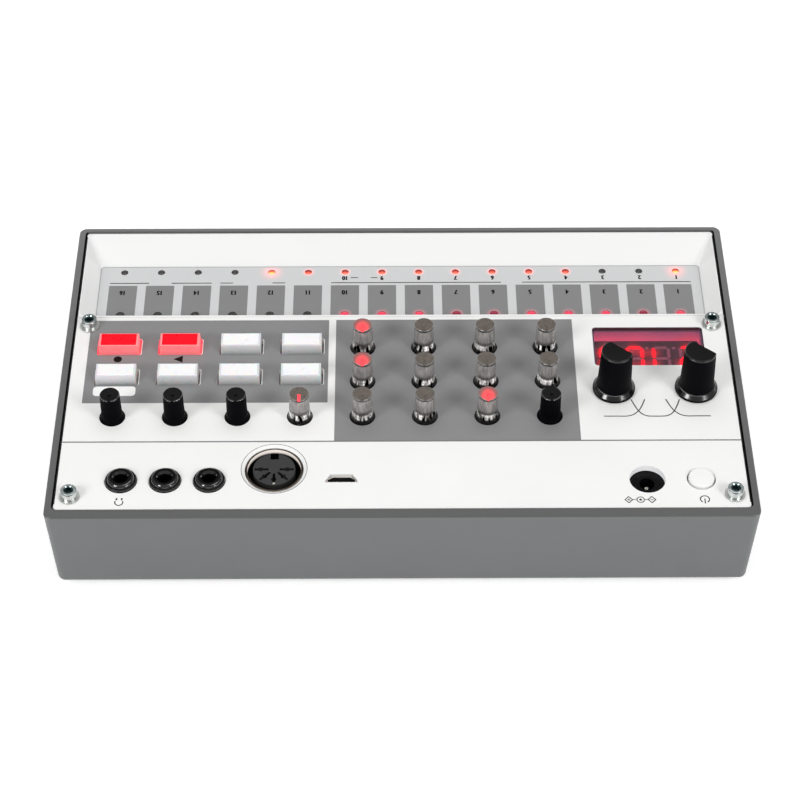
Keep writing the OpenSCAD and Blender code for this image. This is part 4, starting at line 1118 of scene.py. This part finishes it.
# Painted shade of the gaps where the plates meet the sides of the case
SIDE_SHADE_WIDTH = 0.2
PLATE_ENDS = ((-54.5, -19.8), (-19.5, 52.5))
side_gap_shade = [
    box_loop(side * (mm(PANEL_HALF) - SIDE_SHADE_WIDTH), y0, side * mm(PANEL_HALF), y1)
    for side in (1, -1)
    for y0, y1 in PLATE_ENDS
]
side_meshes = [flat_mesh("side_shade_strip", [loop], PANEL_Z, PRINT_THICK / 2) for loop in side_gap_shade]
add_piece("side_gap_shade", join_meshes("side_gap_shade", side_meshes), dark_print_and_shade)

# ---------------------------------------------------------------- display

DIGIT_X = (-83.4, -75.6, -67.9, -60.2)
DIGIT_HALF_W = 2.15
BAR_Y = {"a": -3.05, "g": -7.45, "d": -11.85}
POINT = (4.0, -11.65)
SEGMENT_W = 0.95
SEGMENTS_OF = {"2": "abdeg", "1": "bc", "0": "abcdef"}
SHOWN = "2100"
POINT_R = 0.5
SEGMENT_GAP = 0.14


def segment_loop(name, x):
    """Outline of one segment of the digit at x: a bar with pointed ends."""
    gap, half = SEGMENT_GAP, SEGMENT_W / 2
    a, g, d = BAR_Y["a"], BAR_Y["g"], BAR_Y["d"]
    if name in BAR_Y:
        y = BAR_Y[name]
        x0, x1 = x - DIGIT_HALF_W + gap, x + DIGIT_HALF_W - gap
        return [(x0, y), (x0 + half, y - half), (x1 - half, y - half),
                (x1, y), (x1 - half, y + half), (x0 + half, y + half)]
    side = x + (DIGIT_HALF_W if name in "bc" else -DIGIT_HALF_W)
    y0, y1 = (g + gap, a - gap) if name in "bf" else (d + gap, g - gap)
    return [(side, y0), (side + half, y0 + half), (side + half, y1 - half),
            (side, y1), (side - half, y1 - half), (side - half, y0 + half)]


lit, dark = [], []
for x, figure in zip(DIGIT_X, SHOWN):
    for name in "abcdefg":
        loop = segment_loop(name, x)
        (lit if name in SEGMENTS_OF[figure] else dark).append(loop)
    dark.append(circle_loop(x + POINT[0], POINT[1], POINT_R, 24))
for loop in lit:
    centre = [sum(point[axis] for point in loop) / len(loop) * MM for axis in (0, 1)]
    display_dark.halo((*centre, DIGIT_Z), 3.6 * MM, (1.0, 0.004, 0.02), 0.95)
for name, loops, shader in (("segments_on", lit, segment_on), ("segments_off", dark, segment_off)):
    bars = [flat_mesh("segment", [loop], DIGIT_Z, 2 * PRINT_THICK) for loop in loops]
    add_piece(name, join_meshes(name, bars), shader)

# ---------------------------------------------------------------- lights and backdrop

AIM = Vector((0, 0, 0.03))


def area_light(name, place, size, power):
    """A rectangular lamp that faces the machine."""
    data = bpy.data.lights.new(name, "AREA")
    data.shape = "RECTANGLE"
    data.size, data.size_y = size
    data.energy = power
    light = bpy.data.objects.new(name, data)
    light.location = place
    light.rotation_euler = (AIM - Vector(place)).to_track_quat("-Z", "Y").to_euler()
    bpy.context.scene.collection.objects.link(light)


KEY_POWER, TOP_POWER = 5.9, 3.5
area_light("key_left", (0.75, 0.65, 0.75), (0.36, 0.5), KEY_POWER)
area_light("key_right", (-0.75, 0.65, 0.75), (0.36, 0.5), KEY_POWER)
area_light("top", (0, -0.28, 1.08), (1.0, 0.7), TOP_POWER)

# Dim studio: the camera and clear pieces see it white, polished pieces mirror little but the lamps
ROOM = 0.40
MIRRORED = 0.24
world = bpy.data.worlds.new("world")
bpy.context.scene.world = world
world.use_nodes = True
tree = world.node_tree
ray = tree.nodes.new("ShaderNodeLightPath").outputs
mirrored = math_node(tree, "MULTIPLY", ray["Is Glossy Ray"], MIRRORED - ROOM)
lit_room = math_node(tree, "ADD", mirrored, ROOM)
seen = math_node(tree, "MAXIMUM", ray["Is Camera Ray"], ray["Is Transmission Ray"])
strength = math_node(tree, "MAXIMUM", seen, lit_room)
set_inputs(tree, tree.nodes["Background"], {"Color": (1, 1, 1, 1), "Strength": strength})

FLOOR_DROP = 0.2 * MM
floor_mesh = bpy.data.meshes.new("floor")
build = bmesh.new()
bmesh.ops.create_grid(build, x_segments=1, y_segments=1, size=3.0)
build.to_mesh(floor_mesh)
build.free()
floor = bpy.data.objects.new("floor", floor_mesh)
floor.location.z = -FLOOR_DROP
bpy.context.scene.collection.objects.link(floor)
floor_shader = Shader("floor", (0.85, 0.85, 0.85), 0.6)
floor_mesh.materials.append(floor_shader.material)

# The floor looks white to rays that see it, out to where the lamps no longer reach, and keeps the
# shadow. From below it is clear, so that the underside can be looked at.
NEAR_GLOW, FAR_GLOW = 0.42, 0.72
NEAR_END, FAR_START = 0.45, 1.6
tree = floor_shader.tree
ray = tree.nodes.new("ShaderNodeLightPath").outputs
seen = math_node(tree, "MAXIMUM", ray["Is Camera Ray"], ray["Is Glossy Ray"])
seen = math_node(tree, "MAXIMUM", seen, ray["Is Transmission Ray"])
away = vector_node(tree, "LENGTH", floor_shader.place).outputs["Value"]
level = floor_shader.spread(away, NEAR_GLOW, FAR_GLOW, NEAR_END, FAR_START)
strength = math_node(tree, "MULTIPLY", seen, level)
glow = floor_shader.node("ShaderNodeEmission", Color=(1, 1, 1, 1), Strength=strength)
both = tree.nodes.new("ShaderNodeAddShader")
set_inputs(tree, both, {0: floor_shader.bsdf.outputs[0], 1: glow.outputs[0]})
from_below = tree.nodes.new("ShaderNodeMixShader")
clear = tree.nodes.new("ShaderNodeBsdfTransparent").outputs[0]
below = tree.nodes.new("ShaderNodeNewGeometry").outputs["Backfacing"]
set_inputs(tree, from_below, {0: below, 1: both.outputs[0], 2: clear})
tree.links.new(from_below.outputs[0], tree.nodes["Material Output"].inputs["Surface"])

bpy.context.scene.view_settings.view_transform = "Standard"
